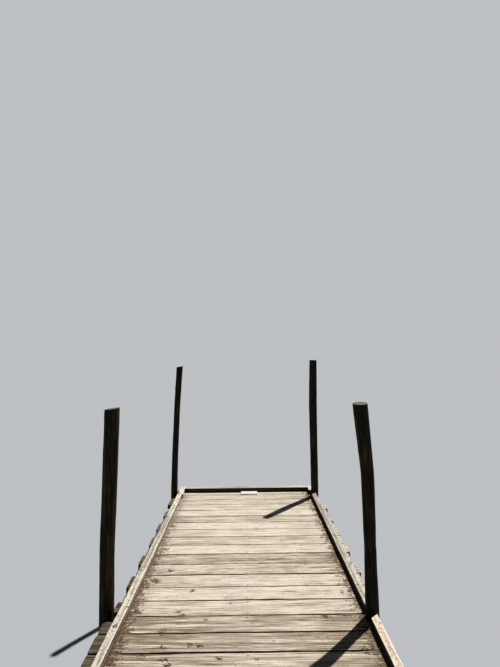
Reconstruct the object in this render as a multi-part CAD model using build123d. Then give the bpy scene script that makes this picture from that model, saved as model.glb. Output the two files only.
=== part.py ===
from build123d import *
import math
import os

# Wooden lake jetty: boards on stringers, pairs of cross beams and round piles.
# Millimetres. X runs across the jetty, to the right when looking out over the lake,
# Y runs from the shore to the lake and Z is up. The origin is in the middle of the
# footprint, level with the piles' feet.

# Driving dimensions of the deck
bay_count = 4
bay_length = 2750.0
end_overhang = 269.0
board_width = 195.0
board_gap = 4.0
board_length = 1708.0
board_thickness = 45.0
deck_top = 1050.0
notch_gap = 10.0

# How far the boards lie to the right of the middle line, from the lake end. The
# photograph shows the first eighteen, and the boards after them repeat the row.
board_shifts = [
    -20.0, -18.0, -22.0, 18.0, -6.0, 13.0, -6.0, 10.0, -2.0,
    16.0, -8.0, 18.0, -5.0, 16.0, -10.0, -34.0, -34.0, -31.0,
]

# Stringers under the boards and cross beams under the stringers
stringer_width = 75.0
stringer_depth = 150.0
stringer_gap = 13.5
beam_overhang = 86.0
beam_thickness = 45.0
beam_depth = 150.0
beam_opening = 66.0

# Kerbs along the edges and across the lake end
kerb_width = 50.0
kerb_height = 50.0
kerb_setback = 50.5
kerb_post_gap = 16.0
kerb_joint = 4.0
bevel_nose = 2.0
bevelled_kerb = 3
left_kerb_pieces = 3
corner_block_length = 328.0
left_block_step = 9.0
left_block_twist = 2.5
right_block_step = 13.5
end_kerb_depth = 80.0
end_kerb_left_gap = 8.0
end_kerb_right_gap = 17.5
end_setback = 6.0

# The bare plate that lies on the last board
plate_width = 195.0
plate_length = 125.0
plate_thickness = 12.0
plate_offset = 31.0

# Piles, from the shore to the lake. Each has how far out its middle is at deck level
# and how far along from its bent, its lean from the deck to its top, its bow at one
# and two thirds of its height above the deck, that height, and its diameters at the
# foot, the deck, those two thirds and the top. The left piles are placed from the
# kerb's outer face. The right ones stand in the kerb's line and are placed from that.
left_piles = [
    dict(out=58.5, along=8, lean=14, bow=(-6, -4), height=1290, girth=(104, 98, 96, 93, 92)),
    dict(out=49.5, along=-14, lean=-22, bow=(3, 5), height=1420, girth=(96, 88, 86, 83, 80)),
    dict(out=64.5, along=10, lean=18, bow=(7, 4), height=1370, girth=(102, 94, 92, 88, 86)),
    dict(out=80, along=35, lean=31.5, bow=(-7.5, -3), height=1315, girth=(102, 96, 96, 98, 99)),
    dict(out=44.5, along=0, lean=70, bow=(-9, -9), height=1530, girth=(84, 77, 73, 71, 77)),
]
right_piles = [
    dict(out=10.5, along=-6, lean=-16, bow=(4, 6), height=1350, girth=(100, 92, 90, 86, 84)),
    dict(out=16.5, along=12, lean=12, bow=(-8, -5), height=1480, girth=(92, 84, 83, 82, 80)),
    dict(out=7.5, along=-9, lean=-20, bow=(6, 9), height=1310, girth=(98, 90, 88, 85, 84)),
    dict(out=9, along=-6, lean=-52.5, bow=(11.5, 21.5), height=1336, girth=(98, 89, 77, 86, 98)),
    dict(out=23.5, along=0, lean=4, bow=(-4, -9), height=1590, girth=(93, 88, 89, 96, 88)),
]

# Levels
stringer_top = deck_top - board_thickness
beam_top = stringer_top - stringer_depth

# Places across: the kerbs are set in from the boards' ends, and the rest follows them
kerb_outer = board_length / 2 - kerb_setback
kerb_middle = kerb_outer - kerb_width / 2
kerb_inner = kerb_outer - kerb_width
right_piles_inner = kerb_middle + min(pile["out"] - pile["girth"][1] / 2 for pile in right_piles)
stringer_middle = right_piles_inner - stringer_gap - stringer_width / 2
beam_length = board_length + 2 * beam_overhang

# Places along: the boards are laid to a whole number from the lake end
board_pitch = board_width + board_gap
wanted_length = bay_count * bay_length + 2 * end_overhang
board_count = round((wanted_length + board_gap) / board_pitch)
deck_length = board_count * board_pitch - board_gap
lake_end = deck_length / 2
last_bent = lake_end - end_overhang
bent_places = [last_bent - (bay_count - i) * bay_length for i in range(bay_count + 1)]
stringer_joint = bent_places[bay_count // 2]
end_kerb_front = lake_end - end_setback - end_kerb_depth


def block(x_range, y_range, z_range):
    size = [b - a for a, b in (x_range, y_range, z_range)]
    middle = [(a + b) / 2 for a, b in (x_range, y_range, z_range)]
    return Pos(*middle) * Box(*size)


def pile_at(side, pile, bent):
    x = -kerb_outer - pile["out"] if side == "left" else kerb_middle + pile["out"]
    return x, bent + pile["along"]


def pile_log(side, pile, bent):
    # A round stem through five circles. Under the deck it leans half as much.
    x, y = pile_at(side, pile, bent)
    height = pile["height"]
    lean = pile["lean"]
    stations = [
        (x - lean / 2 * deck_top / height, 0.0),
        (x, deck_top),
        (x + lean / 3 + pile["bow"][0], deck_top + height / 3),
        (x + lean * 2 / 3 + pile["bow"][1], deck_top + height * 2 / 3),
        (x + lean, deck_top + height),
    ]
    rings = [Pos(sx, y, z) * Circle(d / 2) for (sx, z), d in zip(stations, pile["girth"])]
    return loft(rings, ruled=True)


def beam_pair(left, right, bent):
    # Two planks clamp the piles of one bent, in line with the piles' centres.
    x0, y0 = pile_at("left", left, bent)
    x1, y1 = pile_at("right", right, bent)
    turn = math.degrees(math.atan2(y1 - y0, x1 - x0))
    middle = y0 - x0 * (y1 - y0) / (x1 - x0)
    planks = []
    for face in (-1, 1):
        near = face * beam_opening / 2
        far = face * (beam_opening / 2 + beam_thickness)
        plank = block(
            (-beam_length / 2, beam_length / 2),
            (min(near, far), max(near, far)),
            (beam_top - beam_depth, beam_top),
        )
        planks.append(Pos(0, middle, 0) * Rot(0, 0, turn) * plank)
    return planks


def notch(side, pile, bent):
    # The cut in the boards' ends around one pile, open to the outside.
    x, y = pile_at(side, pile, bent)
    reach = pile["girth"][1] / 2 + notch_gap
    outward = math.copysign(1, x)
    inner = x - outward * reach
    outer = outward * board_length
    return block(
        (min(inner, outer), max(inner, outer)),
        (y - reach, y + reach),
        (stringer_top - notch_gap, deck_top + notch_gap),
    )


def board_place(index):
    return -lake_end + board_width / 2 + index * board_pitch


def board_bay(index):
    # The boards at a pair of piles belong to the bay on the shore side.
    passed = [bent for bent in bent_places[1:-1] if board_place(index) > bent + board_pitch / 2]
    return len(passed)


def board(index):
    shift = board_shifts[(board_count - 1 - index) % len(board_shifts)]
    y = board_place(index)
    return block(
        (shift - board_length / 2, shift + board_length / 2),
        (y - board_width / 2, y + board_width / 2),
        (stringer_top, deck_top),
    )


def kerb(outward, y_start, y_end, inboard=0.0, twist=0.0):
    reach = (y_end - y_start) / 2
    length = block(
        (-kerb_width / 2, kerb_width / 2),
        (-reach, reach),
        (deck_top, deck_top + kerb_height),
    )
    return Pos(outward * (kerb_middle - inboard), y_start + reach, 0) * Rot(0, 0, twist) * length


def save(name, solids):
    shape = solids[0] if len(solids) == 1 else Compound(children=solids)
    shape.label = name
    export_step(shape, f"parts/{name}.step")


os.makedirs("parts", exist_ok=True)
bents = list(zip(bent_places, left_piles, right_piles))

# Cross beams, and the piles housed between them
for number, (bent, left, right) in enumerate(bents, 1):
    planks = beam_pair(left, right, bent)
    save(f"cross_beams_{number}", planks)
    for side, pile in (("left", left), ("right", right)):
        log = pile_log(side, pile, bent)
        for plank in planks:
            log = log - plank
        save(f"pile_{side}_{number}", [log.solid()])

# Stringers, each line in two lengths that butt together over the middle bent
stringer_ends = [-lake_end, stringer_joint, lake_end]
for line, x in (("left", -stringer_middle), ("middle", 0.0), ("right", stringer_middle)):
    for number in (1, 2):
        length = block(
            (x - stringer_width / 2, x + stringer_width / 2),
            (stringer_ends[number - 1], stringer_ends[number]),
            (beam_top, stringer_top),
        )
        save(f"stringer_{line}_{number}", [length])

# Deck boards, one node for each bay
notches = [notch("left", left, bent) for bent, left, right in bents]
notches += [notch("right", right, bent) for bent, left, right in bents]
for bay in range(bay_count):
    boards = []
    for index in range(board_count):
        if board_bay(index) != bay:
            continue
        plank = board(index)
        for cut in notches:
            plank = plank - cut
        boards.append(plank.solid())
    save(f"deck_boards_bay_{bay + 1}", boards)

# The left kerb runs past its piles in long lengths
kerb_start = end_setback - lake_end
kerb_end = lake_end - end_setback
block_start = kerb_end - corner_block_length
left_run = block_start - kerb_joint - kerb_start
left_length = (left_run + kerb_joint) / left_kerb_pieces
for number in range(left_kerb_pieces):
    start = kerb_start + number * left_length
    save(f"kerb_left_{number + 1}", [kerb(-1, start, start + left_length - kerb_joint)])
corner = kerb(-1, block_start, kerb_end, left_block_step, left_block_twist)
save("corner_block_left", [corner])

# The right piles stand in the kerb's line, so that kerb runs from pile to pile
kerb_breaks = [kerb_start]
for bent, left, right in bents:
    reach = right["girth"][1] / 2 + kerb_post_gap
    kerb_breaks += [bent + right["along"] - reach, bent + right["along"] + reach]
kerb_breaks.append(kerb_end)
for number in range(1, bay_count + 1):
    length = kerb(1, kerb_breaks[2 * number], kerb_breaks[2 * number + 1])
    if number == bevelled_kerb:
        corner = length.edges().filter_by(Axis.Z).sort_by(Axis.Y)[-2:].sort_by(Axis.X)[0]
        length = chamfer(corner, kerb_width - bevel_nose)
    save(f"kerb_right_{number}", [length])
save("kerb_right_shore", [kerb(1, kerb_breaks[0], kerb_breaks[1])])
save("corner_block_right", [kerb(1, kerb_breaks[-2], kerb_breaks[-1], right_block_step)])

# The end kerb fits between the corner blocks
save("end_kerb", [block(
    (end_kerb_left_gap - kerb_inner, kerb_inner - end_kerb_right_gap),
    (end_kerb_front, end_kerb_front + end_kerb_depth),
    (deck_top, deck_top + kerb_height),
)])

# The bare plate
save("marker_plate", [block(
    (plate_offset - plate_width / 2, plate_offset + plate_width / 2),
    (end_kerb_front - plate_length, end_kerb_front),
    (deck_top, deck_top + plate_thickness),
)])
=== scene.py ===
import math

import bpy
import numpy as np
from mathutils import Matrix, Vector


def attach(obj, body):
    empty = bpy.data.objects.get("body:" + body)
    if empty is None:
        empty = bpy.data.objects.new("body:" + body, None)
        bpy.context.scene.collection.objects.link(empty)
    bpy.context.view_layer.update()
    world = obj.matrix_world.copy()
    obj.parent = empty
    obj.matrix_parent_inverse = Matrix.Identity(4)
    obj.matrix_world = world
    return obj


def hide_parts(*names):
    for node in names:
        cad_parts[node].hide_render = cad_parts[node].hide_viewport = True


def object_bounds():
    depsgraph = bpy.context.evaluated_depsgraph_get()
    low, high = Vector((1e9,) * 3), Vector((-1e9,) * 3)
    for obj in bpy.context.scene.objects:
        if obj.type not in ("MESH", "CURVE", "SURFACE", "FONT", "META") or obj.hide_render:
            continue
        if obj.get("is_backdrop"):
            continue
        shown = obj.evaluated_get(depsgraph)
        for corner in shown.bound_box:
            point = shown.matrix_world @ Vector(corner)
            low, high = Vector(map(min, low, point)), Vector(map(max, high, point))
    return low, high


# A weathered lake jetty. Metres, X across, Y from the shore to the lake, Z up.
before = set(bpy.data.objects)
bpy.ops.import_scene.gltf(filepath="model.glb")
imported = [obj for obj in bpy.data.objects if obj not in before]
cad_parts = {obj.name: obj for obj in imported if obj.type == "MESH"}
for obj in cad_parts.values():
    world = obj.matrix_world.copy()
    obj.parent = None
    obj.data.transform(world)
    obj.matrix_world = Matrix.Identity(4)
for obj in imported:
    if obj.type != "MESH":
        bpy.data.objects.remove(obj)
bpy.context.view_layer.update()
print("frame loaded,", len(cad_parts), "nodes")

knotReach = dict(radii=3.2, metres=0.055)  # how far a knot reaches into the grain, whichever is more
farFromKnot = 9.0
skin = 0.0006  # how far the dressed faces lie inside the solids' faces


# small helpers for meshes
def wander(t, seed, size, longest, waves=5):
    # a smooth line that strays by about `size`, in waves of `longest` and shorter, lower ones
    rng = np.random.default_rng(seed)
    total = np.zeros_like(np.asarray(t, float))
    for k in range(waves):
        pace = (k + rng.uniform(0.6, 1.4)) / longest
        total = total + np.sin(math.tau * pace * t + rng.uniform(0, math.tau)) / (k + 1) ** 0.8
    return total * size / 1.6


def relief(u, v, seed, size, along, across, waves=9):
    # the same over a surface, stretched along the grain
    rng = np.random.default_rng(seed)
    total = np.zeros_like(np.asarray(u + v, float))
    for _ in range(waves):
        paceU = rng.normal(0, 1) / along
        paceV = rng.uniform(0.4, 1.6) * rng.choice((-1, 1)) / across
        total = total + np.sin(math.tau * (paceU * u + paceV * v) + rng.uniform(0, math.tau))
    return total * size / math.sqrt(waves)


def gridLines(must, also, apart):
    # sorted places: all of `must`, and those of `also` that keep their distance
    kept = sorted(set(round(float(place), 6) for place in must))
    for place in sorted(also):
        if min(abs(place - other) for other in kept) > apart:
            kept.append(float(place))
    return np.array(sorted(kept))


def rounding(distance, radius):
    # how far a worn edge drops at a distance in from it
    inside = np.clip(radius - distance, 0, radius)
    return radius - np.sqrt(np.maximum(radius ** 2 - inside ** 2, 0))


def ramp(distance, reach):
    # 0 at a start, 1 from `reach` on
    return np.clip(distance / reach, 0, 1)


def knotOffsets(points, knots):
    # each point's place from the knot nearest to it, in knot radii
    offsets = np.full((len(points), 3), farFromKnot)
    for centre, radius in knots:
        away = (points - np.array(centre)) / radius
        near = np.linalg.norm(away, axis=1) < max(knotReach["radii"], knotReach["metres"] / radius)
        offsets[near] = away[near]
    return offsets


def bandFaces(first, second, count):
    # four-sided faces between two rings of points that start at these numbers
    faces = []
    for a in range(count):
        b = (a + 1) % count
        faces.append([first + a, first + b, second + b, second + a])
    return faces


def stackFaces(rings, count):
    faces = []
    for ring in range(rings - 1):
        faces += bandFaces(ring * count, (ring + 1) * count, count)
    return faces


def joinParts(parts):
    # parts are dictionaries of points, faces, finish (a material's number) and fields
    points, faces, finish, start = [], [], [], 0
    for part in parts:
        points.append(part["points"])
        faces += [[i + start for i in face] for face in part["faces"]]
        finish += list(part.get("finish", [0] * len(part["faces"])))
        start += len(part["points"])
    fields = {}
    for label in parts[0]["fields"]:
        fields[label] = np.concatenate([part["fields"][label] for part in parts])
    return dict(points=np.concatenate(points), faces=faces, finish=finish, fields=fields)


def makePiece(name, parts, materials, nodes=(), crease=38):
    whole = joinParts(parts)
    mesh = bpy.data.meshes.new(name)
    mesh.from_pydata(whole["points"].tolist(), [], whole["faces"])
    for material in materials:
        mesh.materials.append(material)
    mesh.polygons.foreach_set("material_index", whole["finish"])
    for label, values in whole["fields"].items():
        kind, key = ("FLOAT", "value") if values.ndim == 1 else ("FLOAT_VECTOR", "vector")
        layer = mesh.attributes.new(label, kind, "POINT")
        layer.data.foreach_set(key, values.ravel().astype(np.float32))
    mesh.shade_smooth()
    mesh.set_sharp_from_angle(angle=math.radians(crease))
    mesh.update()
    piece = bpy.data.objects.new(name, mesh)
    bpy.context.scene.collection.objects.link(piece)
    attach(piece, "root")
    if nodes:
        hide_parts(*nodes)
    return piece


# small helpers for materials
def paint(red, green, blue):
    # a colour as it shows on screen, 0 to 255, in Blender's linear numbers
    def toLinear(c):
        c = c / 255
        return c / 12.92 if c <= 0.04045 else ((c + 0.055) / 1.055) ** 2.4
    return (toLinear(red), toLinear(green), toLinear(blue), 1.0)


def fill(tree, node, inputs):
    # links the inputs that come from other nodes and sets the rest
    for key, value in inputs.items():
        if isinstance(value, bpy.types.NodeSocket):
            tree.links.new(value, node.inputs[key])
        else:
            node.inputs[key].default_value = value
    return node


def add(tree, kind, inputs=None, **settings):
    node = tree.nodes.new(kind)
    for key, value in settings.items():
        setattr(node, key, value)
    return fill(tree, node, inputs or {})


def calc(tree, operation, a, b=0.0, c=0.0):
    return add(tree, "ShaderNodeMath", {0: a, 1: b, 2: c}, operation=operation).outputs[0]


def times(tree, a, b):
    return calc(tree, "MULTIPLY", a, b)


def timesPlus(tree, a, factor, plus):
    return calc(tree, "MULTIPLY_ADD", a, factor, plus)


def weigh(tree, start, *pairs):
    # a starting value plus others by weight, each counted from its middle
    total = start
    for value, weight in pairs:
        total = calc(tree, "ADD", total, times(tree, calc(tree, "SUBTRACT", value, 0.5), weight))
    return total


def remap(tree, value, low, high, toLow=0.0, toHigh=1.0):
    inputs = {"Value": value, "From Min": low, "From Max": high, "To Min": toLow, "To Max": toHigh}
    return add(tree, "ShaderNodeMapRange", inputs, interpolation_type="SMOOTHSTEP").outputs[0]


def blend(tree, factor, a, b, mode="MIX"):
    node = add(tree, "ShaderNodeMix", {0: factor, 6: a, 7: b}, data_type="RGBA", blend_type=mode)
    return node.outputs[2]


def cover(tree, colour, look, *layers):
    # lays the finish's colours on in turn: a mask, how much of it shows, and the colour's name
    for mask, share, over in layers:
        colour = blend(tree, times(tree, mask, share), colour, look[over])
    return colour


def stretch(tree, vector, scale):
    return add(tree, "ShaderNodeVectorMath", {0: vector, 1: scale}, operation="MULTIPLY").outputs[0]


def lengthOf(tree, vector):
    return add(tree, "ShaderNodeVectorMath", {0: vector}, operation="LENGTH").outputs["Value"]


def noise(tree, vector, scale, detail=4.0, rough=0.55):
    inputs = {"Vector": vector, "Scale": scale, "Detail": detail, "Roughness": rough}
    return add(tree, "ShaderNodeTexNoise", inputs, noise_type="FBM").outputs[0]


def streaky(tree, place, pace, detail=4.0, rough=0.55):
    # noise that is drawn out along the grain: the pace is its waves to the metre, each way
    return noise(tree, stretch(tree, place, pace), 1.0, detail, rough)


def newGroup(name, inputs, outputs):
    group = bpy.data.node_groups.new(name, "ShaderNodeTree")
    for label, value in inputs:
        kind = "NodeSocketFloat" if isinstance(value, float) else "NodeSocketVector"
        socket = group.interface.new_socket(name=label, in_out="INPUT", socket_type=kind)
        if value is not None:
            socket.default_value = value
    for label in outputs:
        group.interface.new_socket(name=label, in_out="OUTPUT", socket_type="NodeSocketFloat")
    entry = group.nodes.new("NodeGroupInput")
    leave = group.nodes.new("NodeGroupOutput")
    return group, entry.outputs, leave.inputs


def useGroup(tree, group, inputs):
    node = tree.nodes.new("ShaderNodeGroup")
    node.node_tree = group
    return fill(tree, node, inputs).outputs


def newMaterial(name):
    material = bpy.data.materials.new(name)
    material.use_nodes = True
    tree = material.node_tree
    return material, tree, tree.nodes["Principled BSDF"]


def field(tree, name, output="Fac"):
    # a value that the mesh carries at each point
    node = add(tree, "ShaderNodeAttribute", attribute_name=name, attribute_type="GEOMETRY")
    return node.outputs[output]


def finishSurface(tree, shader, inputs, height, strength, depth):
    # the shader's inputs, and the fine relief of the surface
    bump = add(tree, "ShaderNodeBump", {"Height": height, "Strength": strength, "Distance": depth})
    fill(tree, shader, {**inputs, "Normal": bump.outputs[0]})


# effects that several materials share
def buildTimberGrain():
    # rings, bands, streaks and fine lines along the grain, drying checks and knots of one timber
    group, given, out = newGroup(
        "timberGrain",
        [("Place", None), ("Knot", None), ("Ring Width", 0.006), ("Waviness", 0.01), ("Check Width", 0.02)],
        ["Rings", "Bands", "Streaks", "Lines", "Dashes", "Fibre", "Checks", "Knots", "Knot Rim"])
    knotAway = lengthOf(group, given["Knot"])
    knotSwell = calc(group, "EXPONENT", times(group, calc(group, "POWER", knotAway, 2.0), -0.55))
    # the grain parts round a knot
    aside = stretch(group, stretch(group, given["Knot"], (0.0, 0.008, 0.008)), knotSwell)
    place = add(group, "ShaderNodeVectorMath", {0: given["Place"], 1: aside}, operation="SUBTRACT").outputs[0]
    # rings about the heart, which wave and swell at a knot, each darkest near its outside
    bend = streaky(group, place, (0.8, 7.0, 7.0), 3.0)
    bend = times(group, calc(group, "SUBTRACT", bend, 0.5), given["Waviness"])
    radius = lengthOf(group, stretch(group, place, (0.0, 1.0, 1.0)))
    radius = calc(group, "ADD", radius, times(group, bend, 4.0))
    radius = calc(group, "ADD", radius, times(group, knotSwell, 0.02))
    wave = calc(group, "FRACT", calc(group, "DIVIDE", radius, given["Ring Width"]))
    late = times(group, remap(group, wave, 0.35, 0.85), remap(group, wave, 1.0, 0.9))
    group.links.new(late, out["Rings"])
    for measure, pace, detail, low, high in (
            ("Bands", (1.0, 24.0, 24.0), 4.0, 0.36, 0.64), ("Streaks", (2.4, 80.0, 80.0), 5.0, 0.34, 0.66),
            ("Lines", (3.0, 260.0, 260.0), 3.0, 0.36, 0.64), ("Fibre", (9.0, 420.0, 420.0), 3.0, 0.0, 1.0)):
        value = streaky(group, place, pace, detail, 0.6)
        group.links.new(remap(group, value, low, high), out[measure])
    # short dark dashes stand in crowds
    short = streaky(group, place, (14.0, 380.0, 380.0), 2.0, 0.5)
    crowd = streaky(group, place, (1.4, 11.0, 11.0), 3.0)
    dashes = times(group, remap(group, short, 0.64, 0.72), remap(group, crowd, 0.5, 0.62))
    group.links.new(dashes, out["Dashes"])
    # drying checks follow the middle of a slow wave, here and there
    thin = streaky(group, place, (1.6, 46.0, 46.0), 2.0, 0.5)
    line = calc(group, "ABSOLUTE", calc(group, "SUBTRACT", thin, 0.5))
    where = streaky(group, place, (2.2, 9.0, 9.0), 2.0)
    narrow = remap(group, line, given["Check Width"], 0.0)
    group.links.new(times(group, narrow, remap(group, where, 0.52, 0.62)), out["Checks"])
    # a knot's face ends at 1 radius from its middle, and its dark rim lies over that edge
    group.links.new(remap(group, knotAway, 1.05, 0.8), out["Knots"])
    rim = times(group, remap(group, knotAway, 0.7, 0.95), remap(group, knotAway, 1.35, 1.0))
    group.links.new(rim, out["Knot Rim"])
    return group


def buildStains():
    # broad patches, small specks and fine grit, the same for every weathered surface
    group, given, out = newGroup(
        "stains", [("Place", None), ("Patch Size", 0.3), ("Speck Size", 0.01)], ["Patches", "Specks", "Grit"])
    patches = noise(group, given["Place"], calc(group, "DIVIDE", 1.0, given["Patch Size"]), 5.0, 0.6)
    group.links.new(remap(group, patches, 0.36, 0.64), out["Patches"])
    specks = noise(group, given["Place"], calc(group, "DIVIDE", 1.0, given["Speck Size"]), 3.0, 0.6)
    group.links.new(remap(group, specks, 0.6, 0.68), out["Specks"])
    group.links.new(noise(group, given["Place"], 900.0, 2.0, 0.7), out["Grit"])
    return group


def buildDamp():
    # wet foot below a water line that wavers, with slime just above it
    group, given, out = newGroup(
        "dampFoot", [("Place", None), ("Water Line", 0.6), ("Reach", 0.15)], ["Damp", "Slime"])
    height = add(group, "ShaderNodeSeparateXYZ", {0: given["Place"]}).outputs["Z"]
    stray = streaky(group, given["Place"], (14.0, 14.0, 3.0))
    height = calc(group, "ADD", height, times(group, calc(group, "SUBTRACT", stray, 0.5), 0.22))
    top = calc(group, "ADD", given["Water Line"], given["Reach"])
    group.links.new(remap(group, height, top, given["Water Line"]), out["Damp"])
    foot = calc(group, "SUBTRACT", given["Water Line"], given["Reach"])
    low = remap(group, height, foot, given["Water Line"])
    high = remap(group, height, calc(group, "ADD", top, given["Reach"]), given["Water Line"])
    group.links.new(times(group, low, high), out["Slime"])
    return group


def buildShadySide():
    # painted shade: sawn faces turned away from the sun are darkened
    group, given, out = newGroup(
        "paintedShadeSide", [("Normal", None), ("Sunny Way", (0.608, 0.794, 0.0))], ["Shady"])
    inputs = {0: given["Normal"], 1: given["Sunny Way"]}
    facing = add(group, "ShaderNodeVectorMath", inputs, operation="DOT_PRODUCT").outputs["Value"]
    group.links.new(remap(group, facing, -0.15, -0.45), out["Shady"])
    return group


timberGrain = buildTimberGrain()
stains = buildStains()
dampFoot = buildDamp()
paintedShadeSide = buildShadySide()


def useGrain(tree, ringWidth, waviness, checkWidth, knot=None):
    return useGroup(tree, timberGrain, {
        "Place": field(tree, "grainPlace", "Vector"), "Knot": knot or field(tree, "knotPlace", "Vector"),
        "Ring Width": ringWidth, "Waviness": waviness, "Check Width": checkWidth})


def useStains(tree, place, patchSize, speckSize):
    return useGroup(tree, stains, {"Place": place, "Patch Size": patchSize, "Speck Size": speckSize})


def grainRelief(tree, grain):
    return calc(tree, "ADD", times(tree, grain["Rings"], 0.35), times(tree, grain["Fibre"], 0.4))


dullSheen = 0.25  # dry wood barely shines


# boards bleached from pale over mid to dark brown, and the dirt on them; shady is the painted shade on sides
# away from the sun, and also the moss on the left ends
boardFinish = dict(
    pale=paint(237, 224, 205), mid=paint(192, 174, 147), dark=paint(108, 91, 66),
    silver=paint(185, 177, 165), crack=paint(40, 31, 23), knot=paint(134, 112, 86),
    dirt=paint(82, 64, 44), clod=paint(120, 84, 50), shady=paint(40, 34, 26),
    leftEnd=paint(134, 123, 98), rightEnd=paint(230, 225, 214), endSpeck=paint(96, 84, 66),
    start=0.46, tone=-0.78, soil=0.6,  # where a board's ageing starts, and what its tone and soil add
    bands=1.1, streaks=1.35, lines=2.3, rings=0.5, patches=0.25,
    leftFoot=(-0.68, -0.74), rightFootEarthAndShadow=(0.68, 0.735),  # across: where the earth at the kerbs' feet lies, and on the right the kerb's painted shadow too
    outside=(0.795, 0.815), paintedShadeBelow=(1.035, 1.015))  # where the ends outside the kerbs start, and where the painted shade on the sides and undersides starts


def buildBoardWood():
    look = boardFinish
    material, tree, shader = newMaterial("boardWood")
    here = add(tree, "ShaderNodeTexCoord").outputs["Object"]
    across, along, level = add(tree, "ShaderNodeSeparateXYZ", {0: here}).outputs
    grain = useGrain(tree, ringWidth=0.0065, waviness=0.012, checkWidth=0.016)
    spots = useStains(tree, here, patchSize=0.2, speckSize=0.012)
    tone, wear, soil = [field(tree, name) for name in ("tone", "wear", "soil")]
    aged = timesPlus(tree, tone, look["tone"], look["start"])
    aged = timesPlus(tree, soil, look["soil"], aged)
    aged = weigh(tree, aged, (grain["Bands"], look["bands"]), (grain["Streaks"], look["streaks"]),
                 (grain["Lines"], look["lines"]), (grain["Rings"], look["rings"]),
                 (spots["Patches"], look["patches"]))
    colour = blend(tree, aged, look["pale"], look["mid"])
    colour = blend(tree, calc(tree, "SUBTRACT", aged, 1.0), colour, look["dark"])
    colour = cover(tree, colour, look, (spots["Patches"], 0.3, "silver"))
    knot = times(tree, grain["Knots"], remap(tree, grain["Lines"], 0.0, 1.0, 0.5, 0.9))
    colour = blend(tree, knot, colour, look["knot"])
    colour = cover(tree, colour, look, (grain["Knot Rim"], 0.7, "dark"), (grain["Dashes"], 0.85, "dirt"),
                   (grain["Checks"], 0.85, "crack"), (spots["Specks"], 0.45, "dirt"))
    # scuffs across the grain, where feet have turned
    slanting = timesPlus(tree, along, 0.1, across)
    slanting = add(tree, "ShaderNodeCombineXYZ", {"X": slanting, "Y": along}).outputs[0]
    scuff = remap(tree, streaky(tree, slanting, (170.0, 3.0, 1.0), 3.0, 0.7), 0.54, 0.64)
    trodden = times(tree, remap(tree, across, 0.0, 0.45), remap(tree, along, 4.3, 3.0))
    trodden = times(tree, trodden, remap(tree, noise(tree, here, 6.0, 3.0), 0.38, 0.58, 0.0, 0.42))
    colour = cover(tree, colour, look, (scuff, trodden, "dirt"))
    # grime gathers along the gaps in ragged runs
    ragged = streaky(tree, here, (9.0, 60.0, 60.0), 4.0, 0.65)
    grime = timesPlus(tree, calc(tree, "SUBTRACT", ragged, 0.5), 2.2, wear)
    colour = blend(tree, remap(tree, grime, 0.7, 1.2, 0.0, 0.75), colour, look["dirt"])
    # earth lies along the kerbs' feet, most on the left; on the right the strip is also the kerb's painted
    # shadow
    stray = calc(tree, "SUBTRACT", noise(tree, here, 34.0, 5.0, 0.75), 0.5)
    footLeft = remap(tree, timesPlus(tree, stray, 0.42, across), *look["leftFoot"])
    footLeft = times(tree, footLeft, remap(tree, along, 5.6, 2.8, 0.5, 0.95))
    footRightEarthAndShadow = times(tree, remap(tree, timesPlus(tree, stray, -0.5, across), *look["rightFootEarthAndShadow"]), 0.92)
    clods = remap(tree, noise(tree, here, 70.0, 4.0, 0.7), 0.5, 0.62)
    earth = blend(tree, clods, look["dirt"], look["clod"])
    colour = blend(tree, calc(tree, "MAXIMUM", footLeft, footRightEarthAndShadow), colour, earth)
    # the ends outside the kerbs: mossy and dark on the left, bleached on the right
    kerbSide, openSide = look["outside"]
    ends = remap(tree, grain["Lines"], 0.0, 1.0, 0.55, 0.95)
    outLeft = times(tree, remap(tree, across, -kerbSide, -openSide), ends)
    mossy = blend(tree, remap(tree, grain["Streaks"], 0.35, 0.75), look["leftEnd"], look["shady"])
    mossy = blend(tree, remap(tree, grain["Lines"], 0.3, 0.8, 0.0, 0.8), mossy, look["shady"])
    colour = blend(tree, outLeft, colour, mossy)
    outRight = remap(tree, across, kerbSide, openSide)
    speckled = streaky(tree, here, (36.0, 95.0, 60.0), 3.0, 0.7)
    chalky = blend(tree, remap(tree, speckled, 0.5, 0.58), look["rightEnd"], look["endSpeck"])
    colour = blend(tree, times(tree, outRight, 0.8), colour, chalky)
    # painted shade on the sides away from the sun, and on everything under the deck's top
    facing = add(tree, "ShaderNodeNewGeometry").outputs["Normal"]
    shade = useGroup(tree, paintedShadeSide, {"Normal": facing})
    colour = cover(tree, colour, look, (shade["Shady"], 0.9, "shady"))
    colour = blend(tree, remap(tree, level, *look["paintedShadeBelow"], 0.0, 0.75), colour, look["dark"])
    rough = remap(tree, grain["Streaks"], 0.0, 1.0, 0.82, 0.95)
    height = timesPlus(tree, grain["Lines"], -0.4, grainRelief(tree, grain))
    height = timesPlus(tree, grain["Checks"], -1.4, height)
    inputs = {"Base Color": colour, "Roughness": rough, "Specular IOR Level": dullSheen}
    finishSurface(tree, shader, inputs, height, 0.7, 0.0012)
    return material


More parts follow.
